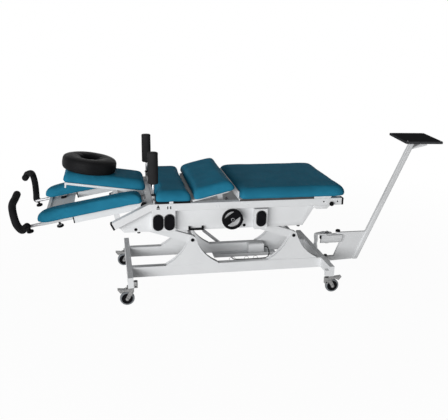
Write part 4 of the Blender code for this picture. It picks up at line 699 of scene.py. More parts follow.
def sweep(path, radii, sides=SMALL_ROUND):
    """A tube along a path with its own radius at each point."""
    across = Vector((0, 0, 1)).cross(path[1] - path[0]).normalized()
    rings = []
    for i, point in enumerate(path):
        ahead = path[min(i + 1, len(path) - 1)] - path[max(i - 1, 0)]
        ahead.normalize()
        across = (across - ahead * across.dot(ahead)).normalized()
        up = ahead.cross(across)
        turns = [2 * math.pi * k / sides for k in range(sides)]
        rings.append([point + (across * math.cos(a) + up * math.sin(a)) * radii[i] for a in turns])
    return to_mesh(skin(rings))


def pivot_turn(joint, angle):
    """The tilt of a section about its hinge."""
    place = Matrix.Translation(JOINTS[joint]["pos_m"])
    return place @ Matrix.Rotation(angle, 4, "Y") @ place.inverted()


def level_box(node, turn):
    """A node's box in the axes of its own tilted section."""
    back = turn.inverted()
    points = [back @ vertex.co for vertex in NODES[node].data.vertices]
    low = Vector([min(p[i] for p in points) for i in range(3)])
    high = Vector([max(p[i] for p in points) for i in range(3)])
    return low, high


ARM_TURN = pivot_turn("arm_tilt", ARM_TILT)
HEAD_TURN = pivot_turn("head_tilt", HEAD_TILT)
LUMBAR_TURN = pivot_turn("lumbar_tilt", LUMBAR_TILT)
LEVEL = Matrix.Identity(4)


# Soft goods

def remeshed(shape, voxel):
    """An even quad skin of a closed bmesh."""
    bmesh.ops.recalc_face_normals(shape, faces=shape.faces)
    mesh = bpy.data.meshes.new("blank")
    shape.to_mesh(mesh)
    shape.free()
    blank = bpy.data.objects.new("blank", mesh)
    bpy.context.scene.collection.objects.link(blank)
    modifier = blank.modifiers.new("skin", "REMESH")
    modifier.mode = "VOXEL"
    modifier.voxel_size = voxel
    smoothing = blank.modifiers.new("even", "SMOOTH")
    smoothing.iterations = CUSHION_SMOOTHING
    return applied(blank)


def applied(piece):
    """The piece with its modifiers turned into mesh."""
    graph = bpy.context.evaluated_depsgraph_get()
    mesh = bpy.data.meshes.new_from_object(piece.evaluated_get(graph))
    piece.modifiers.clear()
    piece.data = mesh
    return piece


def swollen(piece, cap):
    """Blow the skin up like an upholstered pad, moving no point further than the cap."""
    rest = [vertex.co.copy() for vertex in piece.data.vertices]
    cloth = piece.modifiers.new("swell", "CLOTH")
    cloth.settings.use_pressure = True
    cloth.settings.uniform_pressure_force = CUSHION_PRESSURE
    cloth.settings.effector_weights.gravity = 0.0
    cloth.point_cache.frame_end = CUSHION_FRAMES
    scene = bpy.context.scene
    for step in range(1, CUSHION_FRAMES + 1):
        scene.frame_set(step)
    applied(piece)
    scene.frame_set(1)
    for vertex, start in zip(piece.data.vertices, rest):
        move = vertex.co - start
        if move.length > cap:
            vertex.co = start + move * (cap / move.length)
    return piece


def seated(piece, floor):
    """Press a cushion flat on what it rests on."""
    for vertex in piece.data.vertices:
        vertex.co.z = max(vertex.co.z, floor)
    return piece


def moved(piece, push):
    """Move each point along its normal by what push gives for its place."""
    vertices = piece.data.vertices
    normals = [vertex.normal.copy() for vertex in vertices]
    for vertex, normal in zip(vertices, normals):
        vertex.co += normal * push(vertex.co)
    return piece


def puckered(piece, floor, height):
    """Slight pulls of the cover towards the edge where it is stapled."""
    def push(place):
        share = max(0.0, 1.0 - (place.z - floor) / height)
        return noise.noise(place / PUCKER_SIZE) * PUCKER_DEPTH * (PUCKER_EVERYWHERE + share)
    return moved(piece, push)


def fitted(mesh, low, high):
    """Stretch a soft piece to the box that its solid holds."""
    places = [vertex.co.copy() for vertex in mesh.vertices]
    for axis in range(3):
        least = min(place[axis] for place in places)
        scale = (high[axis] - low[axis]) / (max(place[axis] for place in places) - least)
        for vertex, place in zip(mesh.vertices, places):
            vertex.co[axis] = low[axis] + (place[axis] - least) * scale


def finished_soft(piece, name, look, node, turn, low, high):
    """Smooth a soft piece, fit it to its node's box, turn it into place and let it stand for the node."""
    piece.modifiers.clear()
    smoothing = piece.modifiers.new("even", "SMOOTH")
    smoothing.iterations = LAST_SMOOTHING
    finer = piece.modifiers.new("finer", "SUBSURF")
    finer.levels = 1
    finer.render_levels = 1
    mesh = applied(piece).data.copy()
    bpy.data.objects.remove(piece)
    fitted(mesh, low, high)
    mesh.transform(turn)
    result = add(name, mesh, look, NODE_BODY[node], [node])
    mesh.shade_smooth()
    return result


def cushion(node, turn, bottom, left, right, voxel, roll=CUSHION_ROLL):
    """An upholstered pad: rounded plan, crowned top, bulging sides and a tucked lower edge."""
    low, high = level_box(node, turn)
    low.z = bottom if bottom is not None else low.z
    inset = CUSHION_INSET
    x = (low.x + inset, high.x - inset)
    y = (low.y + inset, high.y - inset)
    top = high.z - inset
    tuck = CUSHION_TUCK / max(roll)
    levels = [(low.z, tuck), (low.z + CUSHION_TUCK / 2, tuck / 4)]
    rise = (top - low.z) * CUSHION_RISE
    for i in range(2 * CORNER_STEPS + 1):
        angle = i / CORNER_STEPS * math.pi / 4
        levels.append((top - rise * (1 - math.sin(angle)), 1 - math.cos(angle)))
    rings = []
    for height, draw in levels:
        ends, sides = draw * roll[0], draw * roll[1]
        plan = rounded_rectangle((x[0] + ends, x[1] - ends), (y[0] + sides, y[1] - sides),
                                 max(left - ends, sides / 2), max(right - ends, sides / 2))
        rings.append([(px, py, height) for px, py in plan])
    piece = swollen(remeshed(skin(rings), voxel), CUSHION_CAP)
    puckered(seated(piece, low.z), low.z, high.z - low.z)
    return finished_soft(seated(piece, low.z), f"{node}_cover", "teal", node, turn, low, high)


def face_ring():
    """The ring cushion on the head section, with folds drawn in towards its hole."""
    low, high = level_box("face_cushion", HEAD_TURN)
    low.z -= RING_SINK
    low.x -= RING_DRAW[0]
    high.x -= RING_DRAW[1]
    centre = (low + high) / 2
    outer = (high.x - low.x) / 2 - CUSHION_INSET
    half_width = (outer - RING_HOLE) / 2
    half_height = (high.z - low.z) / 2 - CUSHION_INSET / 2
    profile = []
    for i in range(4 * CORNER_STEPS):
        turn = 2 * math.pi * i / (4 * CORNER_STEPS)
        across = math.copysign(abs(math.cos(turn)) ** RING_SQUARE, math.cos(turn))
        up = math.copysign(abs(math.sin(turn)) ** RING_SQUARE, math.sin(turn))
        profile.append((RING_HOLE + half_width * (1 + across), half_height * up))
    rings = [circle(radius, height, ROUND) for radius, height in profile]
    shape = skin(rings, closed=True)
    shape.transform(Matrix.Translation((centre.x, centre.y, low.z + half_height)))
    piece = swollen(remeshed(shape, RING_MESH), CUSHION_CAP)
    creased(piece, centre, RING_HOLE + half_width)
    seated(piece, low.z)
    name = "face_cushion_cover"
    return finished_soft(piece, name, "black_vinyl", "face_cushion", HEAD_TURN, low, high)


def creased(piece, centre, radius):
    """Folds across the inner half of the ring, and a sewn line and wrinkles round its outer side."""
    def push(place):
        flat = Vector((place.x - centre.x, place.y - centre.y, 0.0))
        turn = math.atan2(flat.y, flat.x)
        inward = max(0.0, min(1.0, (radius - flat.length) / RING_BAND))
        outward = max(0.0, min(1.0, (flat.length - radius) / RING_BAND))
        drift = noise.noise((FOLD_CELLS * flat.x / radius, FOLD_CELLS * flat.y / radius, FOLD_SEED))
        fold = abs(math.sin(FOLD_WAVES * turn + FOLD_DRIFT * drift))
        draw = FOLD_DEPTH * inward * (1 - fold) ** 3
        seam = math.exp(-((place.z - centre.z - SEAM_LIFT) / SEAM_WIDTH) ** 2)
        wrinkle = 0.5 + 0.5 * noise.noise([at * cells for at, cells in zip(place, WRINKLE_CELLS)])
        return -draw - outward * (SEAM_DEPTH * seam + WRINKLE_DEPTH * wrinkle ** 3)
    return moved(piece, push)


def grip_tip(label):
    """Where a hand grip turns, in the level axes of the arm section."""
    return ARM_TURN.inverted() @ Vector(JOINTS[f"grip_turn_{label}"]["pos_m"])


def grip(label, side):
    """A foam-covered hook on a steel tube, with its clamp knob."""
    node = f"grip_{label}"
    body = NODE_BODY[node]
    shift = JOINTS["grip_turn_near"]["pos_m"][0] - GRIP_ROUTE_PIVOT
    path = smooth_path([(px + shift, side * py, pz) for px, py, pz in GRIP_ROUTE], ROUTE_STEPS)
    run = [0.0]
    for a, b in zip(path, path[1:]):
        run.append(run[-1] + (b - a).length)
    radii = []
    for along in run:
        end = min(1.0, min(along, run[-1] - along) / GRIP_END)
        swell = 1.0 + GRIP_SWELL * noise.noise((along * GRIP_SWELL_CELLS, GRIP_SEED, side))
        rounding = GRIP_TIP_SHARE + (1 - GRIP_TIP_SHARE) * math.sqrt(1 - (1 - end) ** 2)
        radii.append(GRIP_FOAM_RADIUS * swell * rounding)
    foam = add(f"{node}_foam", sweep(path, radii), "foam", body, [node])
    tip = grip_tip(label)
    tube_end = level_box("arm_carriage", ARM_TURN)[0].x + GRIP_TUBE_REACH
    ends = [ARM_TURN @ Vector((x, tip.y, tip.z)) for x in (tip.x - GRIP_TUBE_LEAD, tube_end)]
    add(f"{node}_tube", rod(*ends, GRIP_STEEL_RADIUS), "steel", body)
    place = ARM_TURN @ Vector((tip.x + GRIP_KNOB_ALONG, tip.y, tip.z - GRIP_KNOB_DROP))
    knob(f"{node}_knob", place, body)


def knob(name, top, body):
    """A mushroom clamp knob below a tube of the arm section."""
    down = ARM_TURN.to_3x3() @ Vector((0, 0, -1))
    return add(name, lathe(KNOB_PROFILE, top, down), "plastic", body)


def roll_profile(radius, bottom, top):
    """An upright roll with rounded ends, a slight belly and a dished top."""
    inner = radius - ROLL_EDGE
    profile = [(0.0, bottom)]
    for turn in ROLL_EDGE_TURNS:
        profile.append((inner + ROLL_EDGE * math.sin(turn), bottom + ROLL_EDGE * (1 - math.cos(turn))))
    for i in range(1, ROLL_STEPS):
        share = i / ROLL_STEPS
        belly = ROLL_BELLY * math.sin(math.pi * share)
        height = bottom + ROLL_EDGE + (ROLL_LENGTH - 2 * ROLL_EDGE) * share
        profile.append((radius - ROLL_BELLY + belly, height))
    for turn in ROLL_EDGE_TURNS:
        profile.append((inner + ROLL_EDGE * math.cos(turn), top - ROLL_EDGE + ROLL_EDGE * math.sin(turn)))
    return profile + [(radius / 2, top - ROLL_DISH[0]), (0.0, top - ROLL_DISH[1])]


def armpit_post(label):
    """An armpit roll on a steel rod, in a block that straddles the cross bar."""
    node = f"armpit_post_{label}"
    body = NODE_BODY[node]
    low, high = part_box(node)
    x, y = (low.x + high.x) / 2, (low.y + high.y) / 2
    roll_bottom = high.z - ROLL_LENGTH
    profile = roll_profile((high.x - low.x) / 2, roll_bottom, high.z)
    # The roll wears the lightened black vinyl, whose extra lightness is a painted highlight.
    roll = add(f"{node}_roll", lathe(profile, (x, y, 0.0), (0, 0, 1), ROUND), "black_vinyl_painted_highlight", body, [node])
    bar_low, bar_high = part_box("armpit_bar")
    top = bar_low.z + POST_BLOCK_HEIGHT
    stem = rod((x, y, top - POST_ROD_SEAT), (x, y, roll_bottom + POST_ROD_SEAT), POST_ROD_RADIUS)
    add(f"{node}_rod", stem, "steel_upright", body)
    half = POST_BLOCK_HALF
    slot = (bar_high.x - bar_low.x) / 2 + POST_SLOT_PLAY
    foot = bar_low.z + POST_BLOCK_LIFT
    roof = bar_high.z + POST_SLOT_PLAY
    outline = [
        (x - half, foot), (x - slot, foot), (x - slot, roof), (x + slot, roof),
        (x + slot, foot), (x + half, foot), (x + half, top), (x - half, top),
    ]
    straddle = prism(outline, (y - POST_BLOCK_REACH, y + POST_BLOCK_REACH), POST_BLOCK_EDGE)
    add(f"{node}_block", straddle, "zinc", body)
    collar = lathe(POST_COLLAR_PROFILE, (x, y, top - POST_COLLAR_SEAT), (0, 0, 1))
    add(f"{node}_collar", collar, "plastic", body)


def soft_goods():
    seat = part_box("leg_pad")[0].z
    cushion("head_pad", HEAD_TURN, None, *PAD_PLANS["head_pad"])
    for label, _ in SIDES:
        cushion(f"arm_pad_{label}", ARM_TURN, None, *PAD_PLANS["arm_pad"], ARM_ROLL)
    cushion("thorax_pad", LEVEL, seat, *PAD_PLANS["thorax_pad"])
    cushion("lumbar_pad", LUMBAR_TURN, None, *PAD_PLANS["lumbar_pad"])
    cushion("leg_pad", LEVEL, None, *PAD_PLANS["leg_pad"])
    face_ring()
    for label, side in SIDES:
        grip(label, side)
        armpit_post(label)


# Rigid frame

def rigid_frame():
    """Every plain rigid node, rounded over and finished."""
    finishes = (
        ("white", RAIL_EDGE, ("side_rail", "_cross_tube")),
        ("white", BEAM_EDGE, ("base_", "_lift_frame", "control_box", "arm_rail")),
        ("white", SHEET_EDGE, ("side_panel", "head_frame", "lumbar_frame", "leg_carriage", "arm_carriage")),
        ("steel", FINE_EDGE, ("_shaft", "head_hinge_tube", "armpit_bar", "lift_actuator")),
        ("zinc", FINE_EDGE, ("caster_fork", "caster_pedal")),
        ("zinc", GEARBOX_EDGE, ("lumbar_gearbox",)),
        ("plastic", LEVER_EDGE, ("release_handle",)),
        ("plastic", HANDWHEEL_EDGE, ("handwheel",)),
        # The tray takes the lightened black plastic, a painted sheen.
        ("tray_painted_sheen", TRAY_EDGE, ("traction_tray",)),
    )
    for look, width, parts in finishes:
        for node in NODES:
            if any(part in node for part in parts):
                dressed(node, width, look)
    dressed("traction_arm", SWING_ARM_EDGE, "white", MAST_CORNER)


def wheels():
    """Two-tone caster wheels: a grey tread on a black centre."""
    for end in ENDS:
        for label, _ in SIDES:
            node = f"caster_wheel_{end}_{label}"
            low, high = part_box(node)
            centre = (low + high) / 2
            radius = (high.z - low.z) / 2
            half = (high.y - low.y) / 2
            body = NODE_BODY[node]
            side = [(TYRE_INNER + out, half - draw) for out, draw in TREAD_BORE_STEPS]
            side += [(radius - drop, half - draw) for drop, draw in TREAD_RIM_STEPS]
            tread = [(r, -h) for r, h in side] + side[::-1]
            add(f"{node}_tyre", lathe(tread, centre, (0, 1, 0), ROUND, True), "tyre", body, [node])
            face = [(r, half - draw) for r, draw in HUB_STEPS]
            face.append((TYRE_INNER + HUB_OVERLAP, half - HUB_RIM_DRAW))
            centre_disc = face + [(r, -h) for r, h in reversed(face)]
            add(f"{node}_centre", lathe(centre_disc, centre, (0, 1, 0), ROUND, True), "plastic", body)


def caster_trim():
    """Axle nuts on the forks, and the stop tabs beside the near casters."""
    for end in ENDS:
        for label, side in SIDES:
            fork = f"caster_fork_{end}_{label}"
            wheel_low, wheel_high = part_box(f"caster_wheel_{end}_{label}")
            axle = (wheel_low + wheel_high) / 2
            for way in (-1, 1):
                name = f"{fork}_nut_{'out' if way == side else 'in'}"
                place = (axle.x, axle.y + way * NUT_REACH, axle.z)
                add(name, lathe(NUT_PROFILE, place, (0, way, 0), NUT_SIDES), "zinc", NODE_BODY[fork])
        stop_tab(end)


def stop_tab(end):
    """A plated shoe over the stop tab at a cross beam's near end, with a screw and a rubber pad."""
    beam_low, beam_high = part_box(f"base_cross_beam_{end}")
    out = 1 if end == "head" else -1
    face = beam_high.x if end == "head" else beam_low.x
    x = sorted((face + out * TAB_SKIN, face - out * (TAB_LENGTH - TAB_SKIN)))
    y = (-beam_high.y - TAB_SKIN, -beam_high.y + TAB_WIDTH)
    top = beam_low.z + TAB_TOP
    shoe = block(x, y, (beam_low.z + TAB_SKIN, top), TAB_EDGE)
    add(f"stop_tab_shoe_{end}", shoe, "zinc", "base")
    pad_x, pad_y = ((low + TAB_PAD_INSET, high - TAB_PAD_INSET) for low, high in (x, y))
    pad = block(pad_x, pad_y, (top - TAB_PAD_SEAT, top + TAB_PAD_HEIGHT), TAB_EDGE)
    add(f"stop_tab_pad_{end}", pad, "rubber", "base")
    place = ((x[0] + x[1]) / 2, y[0], beam_low.z + TAB_TOP / 4)
    bolt(f"stop_tab_screw_{end}", place, (0, -1, 0), SCREW_RADIUS, "plastic", "base")


def bolt(name, place, axis, radius, look, body):
    """A button-head socket bolt."""
    height = radius * BOLT_HEIGHT_SHARE
    profile = [(radius * out, height * up) for out, up in BOLT_SHARES]
    profile += [(radius, -BOLT_SEAT), (0.0, -BOLT_SEAT)]
    return add(name, lathe(profile, place, axis, SMALL_ROUND), look, body)


def bolts():
    """Pivot bolts on the pylons and panels, screws along the near rail and in the tray's corners."""
    shaft_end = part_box("head_lower_shaft")[1].y - BOLT_SINK
    panel_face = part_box("side_panel_far")[1].y + BORDER_PROUD
    for label, side in SIDES:
        for end in ENDS:
            pin = JOINTS["lift" if end == "head" else "foot_arm"]["pos_m"]
            place = (pin[0], side * shaft_end, pin[2])
            bolt(f"pylon_bolt_{end}_{label}", place, (0, side, 0), PYLON_BOLT_RADIUS, "plastic", "base")
            low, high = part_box(f"{end}_upper_shaft")
            place = ((low.x + high.x) / 2, side * panel_face, (low.z + high.z) / 2)
            bolt(f"panel_bolt_{end}_{label}", place, (0, side, 0), BOLT_RADIUS, "plastic", "upper_frame")
    rail_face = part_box("side_rail_near")[0].y
    for kind, look, places in (("rail", "white", RAIL_SCREWS), ("plunger", "plastic", PLUNGER_SCREWS)):
        for number, (x, z) in enumerate(places, 1):
            bolt(f"{kind}_screw_{number}", (x, rail_face, z), (0, -1, 0), SCREW_RADIUS, look, "upper_frame")
    tray_low, tray_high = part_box("traction_tray")
    centre = (tray_low + tray_high) / 2
    turn = Matrix.Rotation(TRAY_TURN, 4, "Z")
    corners = [(dx, dy) for dx in (-TRAY_SCREW_X, TRAY_SCREW_X) for dy in (-TRAY_SCREW_Y, TRAY_SCREW_Y)]
    for number, (dx, dy) in enumerate(corners, 1):
        place = Vector((centre.x, centre.y, tray_high.z)) + turn @ Vector((dx, dy, 0.0))
        bolt(f"tray_screw_{number}", place, (0, 0, 1), TRAY_SCREW_RADIUS, "steel", "traction_tray")


def end_caps():
    """Black plugs in the open ends of the rails and the stub, and collars where the arm tubes run out."""
    level_low, level_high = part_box("side_rail_far")
    size = level_high.y - level_low.y
    half = size / 2
    cos, sin = math.cos(SLANT_ANGLE), math.sin(SLANT_ANGLE)
    slant_end = Vector((level_low.x + half * sin, 0.0, level_low.z + half * cos))
    turn = Matrix.Translation(slant_end) @ Matrix.Rotation(-SLANT_ANGLE, 4, "Y")
    foot_x = (level_high.x - CAP_SEAT, level_high.x + CAP_PROUD)
    foot_z = (level_high.z - size, level_high.z)
    for label, side in SIDES:
        y = sorted((side * level_low.y, side * level_high.y))
        add(f"rail_plug_foot_{label}", block(foot_x, y, foot_z, CAP_EDGE), "rubber", "upper_frame")
        head = block((-CAP_PROUD, CAP_SEAT), y, (-half, half), CAP_EDGE, turn)
        add(f"rail_plug_head_{label}", head, "rubber", "upper_frame")
        arm_collar(label, side)
    stub_end = JOINTS["arm_swing"]["pos_m"][0] - STUB_REACH
    stub_x = (stub_end - CAP_PROUD / 2, stub_end + CAP_SEAT)
    add("stub_plug", block(stub_x, STUB_Y, STUB_Z, STUB_EDGE), "rubber", "traction_arm")


def arm_collar(label, side):
    """The black bush in the mouth of an arm rail, bored for the tube, and the hinge's end cap."""
    low, high = level_box(f"arm_rail_{label}", ARM_TURN)
    tip = grip_tip(label)
    mid_y = (low.y + high.y) / 2
    half_y = (high.y - low.y) / 2 + COLLAR_PROUD
    z = (high.z - COLLAR_HEIGHT - COLLAR_PROUD, high.z - COLLAR_TOP_PLAY)
    outer = rounded_rectangle((mid_y - half_y, mid_y + half_y), z, COLLAR_CORNER, COLLAR_CORNER)
    inner = []
    for py, pz in outer:
        angle = math.atan2(pz - tip.z, py - mid_y)
        inner.append((mid_y + COLLAR_BORE * math.cos(angle), tip.z + COLLAR_BORE * math.sin(angle)))
    facing = Matrix(((0, 1, 0, 0), (1, 0, 0, 0), (0, 0, 1, 0), (0, 0, 0, 1)))
    turn = ARM_TURN @ Matrix.Translation((low.x + COLLAR_SEAT, 0.0, 0.0)) @ facing
    collar = ring_plate(outer, inner, COLLAR_THICKNESS, COLLAR_EDGE, turn)
    add(f"arm_collar_{label}", collar, "rubber", NODE_BODY[f"arm_rail_{label}"])
    hinge = JOINTS["arm_tilt"]["pos_m"]
    place = (hinge[0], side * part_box("head_hinge_tube")[1].y, hinge[2])
    add(f"hinge_cap_{label}", lathe(HINGE_CAP_PROFILE, place, (0, side, 0)), "plastic", "upper_frame")


def border_outline(insets, low, high, rail_bottom):
    """One outline of a panel's border, from the insets of its corners."""
    (low_head, low_foot, up), (top_head, top_foot, down), (corner, corner_z) = insets
    return [
        (low.x + low_head, low.z + up), (high.x - low_foot, low.z + up),
        (high.x - top_foot, rail_bottom - down), (low.x + top_head, rail_bottom - down),
        (low.x + corner, corner_z),
    ]


def panel_borders():
    """The pressed border round each side panel, and the rubber feet under it."""
    low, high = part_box("side_panel_far")
    rail_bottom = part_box("side_rail_far")[1].z - RAIL_HEIGHT
    outer = border_outline(BORDER_OUTER, low, high, rail_bottom)
    inner = border_outline(BORDER_INNER, low, high, rail_bottom)
    for label, side in SIDES:
        face = Matrix.Translation((0, side * high.y, 0)) @ Matrix.Diagonal((1, -side, 1, 1))
        mesh = ring_plate(outer, inner, BORDER_PROUD, BORDER_EDGE, face)
        add(f"panel_border_{label}", mesh, "white", "upper_frame")
        for end, x in PANEL_FEET.items():
            place = (x, side * (high.y - PANEL_FOOT_INSET), low.z)
            foot = lathe(PANEL_FOOT_PROFILE, place, (0, 0, 1))
            add(f"panel_foot_{end}_{label}", foot, "strip", "upper_frame")


def switches():
    """Rocker keys with a dished face, in oval bezels, and the plain marks above two of them."""
    rail_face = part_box("side_rail_near")[0].y
    for number in (1, 2, 3):
        node = f"rocker_switch_{number}"
        low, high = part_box(node)
        centre = ((low.x + high.x) / 2, (low.z + high.z) / 2)
        width, height = high.x - low.x, high.z - low.z
        depth = high.y - low.y
        rings = []
        for out, draw in KEY_STEPS:
            ring = []
            for px, pz in stadium(centre, width - 2 * draw, height - 2 * draw):
                dish = KEY_DISH * out ** 4 * (1 - ((pz - centre[1]) / (height / 2)) ** 2)
                ring.append((px, high.y - depth * out + dish, pz))
            rings.append(ring)
        add(f"{node}_key", to_mesh(skin(rings)), "plastic", NODE_BODY[node], [node])
        outer = stadium(centre, width + BEZEL_RIM, height + BEZEL_RIM)
        inner = stadium(centre, width + BEZEL_PLAY, height + BEZEL_PLAY)
        place = Matrix.Translation((0, rail_face + MARK_SEAT, 0))
        bezel = ring_plate(outer, inner, BEZEL_PROUD, BEZEL_EDGE, place)
        add(f"{node}_bezel", bezel, "strip", "upper_frame")
    switch_marks((rail_face - MARK_PROUD, rail_face + MARK_SEAT))


def switch_marks(y):
    """A plain arrow over a bar above the first switch, and two plain bars above the second."""
    left, right = LIFT_MARK_X
    foot, tip = LIFT_ARROW_Z
    arrow = [(left, foot), (right, foot), ((left + right) / 2, tip)]
    add("lift_mark_arrow", prism(arrow, y, MARK_EDGE), "plastic", "upper_frame")
    add("lift_mark_bar", block(LIFT_MARK_X, y, LIFT_BAR_Z, MARK_EDGE), "plastic", "upper_frame")
    for name, x in TILT_MARK_X.items():
        bar = block((x - TILT_MARK_HALF, x + TILT_MARK_HALF), y, TILT_MARK_Z, MARK_EDGE)
        add(f"tilt_mark_{name}", bar, "plastic", "upper_frame")


def handwheel_trim():
    """A bright ring on the handwheel's hub, the rail lock's knob and the block behind it."""
    place = JOINTS["handwheel_turn"]["pos_m"]
    face = (place[0], place[1] - HUB_RING_OUT, place[2])
    ring = lathe(HUB_RING_PROFILE, face, (0, -1, 0), SMALL_ROUND, True)
    add("handwheel_ring", ring, "steel", "handwheel")
    low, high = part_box("rail_plunger")
    centre = (low + high) / 2
    head = lathe(PLUNGER_PROFILE, (centre.x, high.y, centre.z), (0, -1, 0))
    add("rail_plunger_knob", head, "plastic", "rail_plunger", ["rail_plunger"])
    add("plunger_block", prism(LOCK_OUTLINE, LOCK_Y, LOCK_EDGE), "white", "upper_frame")


def swing_trim():
    """Black caps and the clamp knob of the traction arm."""
    swing = JOINTS["arm_swing"]["pos_m"]
    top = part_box("base_cross_beam_foot")[1].z - SWING_CAP_DROP
    for name, height in (("top", top), ("low", SWING_CAP_LOW)):
        cap = lathe(SWING_CAP_PROFILE, (swing[0], swing[1], height), (0, 0, 1))
        add(f"swing_cap_{name}", cap, "plastic", "base")
    add("swing_knob", lathe(SWING_KNOB_PROFILE, SWING_KNOB_PLACE, (0, 0, 1)), "plastic", "traction_arm")


def carriage_trim():
    """Clamp knobs below the arm carriage and caps above it."""
    tip = grip_tip("near")
    x = JOINTS["arm_tilt"]["pos_m"][0] - CARRIAGE_KNOB_BACK
    up = ARM_TURN.to_3x3() @ Vector((0, 0, 1))
    for label, side in SIDES:
        place = ARM_TURN @ Vector((x, side * abs(tip.y), tip.z - CARRIAGE_KNOB_DROP))
        knob(f"arm_knob_{label}", place, "arm_carriage")
        place = ARM_TURN @ Vector((x, side * CARRIAGE_CAP_Y, tip.z + CARRIAGE_CAP_LIFT))
        add(f"arm_cap_{label}", lathe(ARM_CAP_PROFILE, place, up), "plastic", "arm_carriage")


def boards_and_strips():
    """The board under the chest cushion, its clip, and the strips that the leg section slides on; their black
    is partly their own colour and partly painted shade in the gaps under the cushions.
    """
    low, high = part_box("thorax_pad")
    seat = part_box("leg_pad")[0].z
    rail_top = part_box("side_rail_near")[1].z
    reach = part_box("side_rail_far")[1].y - BOARD_INSET
    board_x = (low.x + BOARD_DRAW, high.x - BOARD_DRAW)
    board_z = (rail_top + BOARD_PLAY[0], seat - BOARD_PLAY[1])
    # The board is black partly as its own colour and partly as painted shade for the gaps round the chest
    # cushion.
    add("thorax_board_and_painted_shade", block(board_x, (-reach, reach), board_z, BOARD_EDGE), "plastic", "upper_frame")
    clip_y = (-reach - CLIP_PROUD, -reach + CLIP_PLAY)
    clip_z = (rail_top + CLIP_PLAY, seat - CLIP_PLAY)
    add("thorax_clip", block(CLIP_X, clip_y, clip_z, CLIP_EDGE), "white", "upper_frame")
    low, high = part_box("leg_carriage")
    strip_x = (low.x + STRIP_DRAW[0], high.x - STRIP_DRAW[1])
    strip_z = (rail_top + STRIP_PLAY[0], seat - STRIP_PLAY[1])
    for label, side in SIDES:
        strip_y = sorted((side * (reach - STRIP_SEAT), side * (reach + STRIP_PROUD)))
        # The strips are dark partly as their own colour and partly as the painted shadow of the leg cushion on
        # the rail tops.
        add(f"leg_strip_and_painted_shade_{label}", block(strip_x, strip_y, strip_z, STRIP_EDGE), "strip", "leg_section")


def control_lead():
    """The lead from the control box to the actuator, the ties that hold it, and the box's gland and lid."""
    path = smooth_path(LEAD_ROUTE, ROUTE_STEPS)
    lead = sweep(path, [LEAD_RADIUS] * len(path), LEAD_SIDES)
    add("control_lead_cover", lead, "rubber", "base", ["control_lead"])
    for number, tie in enumerate(LEAD_TIES, 1):
        add(f"lead_tie_{number}", lead_tie(*tie), "rubber", "base")
    low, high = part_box("control_box")
    gland = lathe(GLAND_PROFILE, (high.x - GLAND_SEAT, *LEAD_ROUTE[0][1:]), (1, 0, 0))
    add("control_gland", gland, "plastic", "base")
    lid_x = (low.x + LID_INSET, high.x - LID_INSET)
    lid_y = (low.y + LID_INSET, high.y - LID_INSET)
    lid_z = (high.z - LID_SEAT, high.z + LID_HEIGHT)
    add("control_lid", block(lid_x, lid_y, lid_z, LID_EDGE), "white", "base")


def lead_tie(x, z, wide, tall):
    """A thin band round the lead, an oval in X and Z."""
    turns = [2 * math.pi * i / ROUND for i in range(ROUND)]
    around = [2 * math.pi * k / TIE_SIDES for k in range(TIE_SIDES)]
    loop = [Vector((x + wide * math.cos(turn), TIE_Y, z + tall * math.sin(turn))) for turn in turns]
    across = Vector((0, 1, 0))
    rings = []
    for i, point in enumerate(loop):
        out = (loop[(i + 1) % ROUND] - loop[i - 1]).normalized().cross(across)
        rings.append([point + (across * math.cos(b) + out * math.sin(b)) * TIE_RADIUS for b in around])
    return to_mesh(skin(rings, closed=True))


# Stage

def camera():
    yaw, pitch, roll = CAMERA_YAW, CAMERA_PITCH, CAMERA_ROLL
    ahead = Vector((math.sin(yaw) * math.cos(pitch), math.cos(yaw) * math.cos(pitch), -math.sin(pitch)))
    level = Vector((math.cos(yaw), -math.sin(yaw), 0.0))
    above = level.cross(ahead)
    right = level * math.cos(roll) + above * math.sin(roll)
    up = above * math.cos(roll) - level * math.sin(roll)
    lens = bpy.data.cameras.new("camera")
    lens.sensor_fit = "HORIZONTAL"
    lens.sensor_width = SENSOR_WIDTH
    lens.lens = SENSOR_WIDTH * FOCAL_PIXELS / PICTURE_WIDTH
    view = bpy.data.objects.new("camera", lens)
    turn = Matrix((right, up, -ahead)).transposed().to_4x4()
    view.matrix_world = Matrix.Translation(CAMERA_PLACE) @ turn
    bpy.context.scene.collection.objects.link(view)
    bpy.context.scene.camera = view


def lamp(name, place, size, power):
    """A soft rectangular lamp aimed at the table."""
    data = bpy.data.lights.new(name, "AREA")
    data.shape = "RECTANGLE"
    data.size, data.size_y = size
    data.energy = power
    light = bpy.data.objects.new(name, data)
    aim = (Vector(LIGHT_AIM) - Vector(place)).to_track_quat("-Z", "Y")
    light.matrix_world = Matrix.Translation(place) @ aim.to_matrix().to_4x4()
    bpy.context.scene.collection.objects.link(light)


def seen_directly(tree):
    """One for rays that come straight from the camera or off a mirror, nought for the rest."""
    path = tree.nodes.new("ShaderNodeLightPath")
    total = path.outputs["Is Camera Ray"]
    for name in ("Is Glossy Ray", "Is Transmission Ray"):
        larger = tree.nodes.new("ShaderNodeMath")
        larger.operation = "MAXIMUM"
        tree.links.new(total, larger.inputs[0])
        tree.links.new(path.outputs[name], larger.inputs[1])
        total = larger.outputs[0]
    return total


def world():
    sky = bpy.data.worlds.new("studio")
    sky.use_nodes = True
    tree = sky.node_tree
    background = tree.nodes["Background"]
    background.inputs["Color"].default_value = (1.0, 1.0, 1.0, 1.0)
    strength = tree.nodes.new("ShaderNodeMapRange")
    strength.inputs["To Min"].default_value = WORLD_FILL
    strength.inputs["To Max"].default_value = 1.0
    tree.links.new(seen_directly(tree), strength.inputs["Value"])
    tree.links.new(strength.outputs["Result"], background.inputs["Strength"])
    bpy.context.scene.world = sky


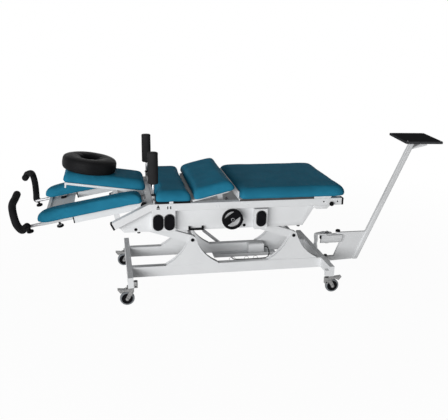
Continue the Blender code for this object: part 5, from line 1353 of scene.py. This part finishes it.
def floor():
    """A pale floor that stays white to the eye and still takes the table's shadow."""
    surface = bpy.data.materials.new("studio_floor")
    surface.use_nodes = True
    surface.cycles.emission_sampling = "NONE"
    tree = surface.node_tree
    shader = tree.nodes["Principled BSDF"]
    shader.inputs["Base Color"].default_value = (*FLOOR_COLOUR, 1.0)
    shader.inputs["Roughness"].default_value = FLOOR_ROUGHNESS
    shader.inputs["Specular IOR Level"].default_value = 0.0
    glow = tree.nodes.new("ShaderNodeEmission")
    place = tree.nodes.new("ShaderNodeTexCoord")
    away = tree.nodes.new("ShaderNodeVectorMath")
    away.operation = "LENGTH"
    fade = tree.nodes.new("ShaderNodeMapRange")
    fade.inputs["From Min"].default_value, fade.inputs["From Max"].default_value = FLOOR_FADE
    fade.inputs["To Min"].default_value = FLOOR_GLOW
    fade.inputs["To Max"].default_value = 1.0
    share = tree.nodes.new("ShaderNodeMath")
    share.operation = "MULTIPLY"
    mix = tree.nodes.new("ShaderNodeMixShader")
    tree.links.new(place.outputs["Object"], away.inputs[0])
    tree.links.new(away.outputs["Value"], fade.inputs["Value"])
    tree.links.new(seen_directly(tree), share.inputs[0])
    tree.links.new(fade.outputs["Result"], share.inputs[1])
    tree.links.new(share.outputs[0], mix.inputs["Fac"])
    tree.links.new(shader.outputs["BSDF"], mix.inputs[1])
    tree.links.new(glow.outputs["Emission"], mix.inputs[2])
    tree.links.new(mix.outputs["Shader"], tree.nodes["Material Output"].inputs["Surface"])
    half = FLOOR_SIZE / 2
    corners = [(-half, -half), (half, -half), (half, half), (-half, half)]
    mesh = bpy.data.meshes.new("floor")
    mesh.from_pydata([(px, py, -FLOOR_DROP) for px, py in corners], [], [(0, 1, 2, 3)])
    mesh.materials.append(surface)
    ground = bpy.data.objects.new("floor", mesh)
    bpy.context.scene.collection.objects.link(ground)


def main():
    bpy.context.scene.view_settings.view_transform = "Standard"
    camera()
    world()
    floor()
    lamp("key", KEY_PLACE, KEY_SIZE, KEY_POWER)
    soft_goods()
    rigid_frame()
    wheels()
    caster_trim()
    bolts()
    end_caps()
    panel_borders()
    switches()
    handwheel_trim()
    swing_trim()
    carriage_trim()
    boards_and_strips()
    control_lead()


main()
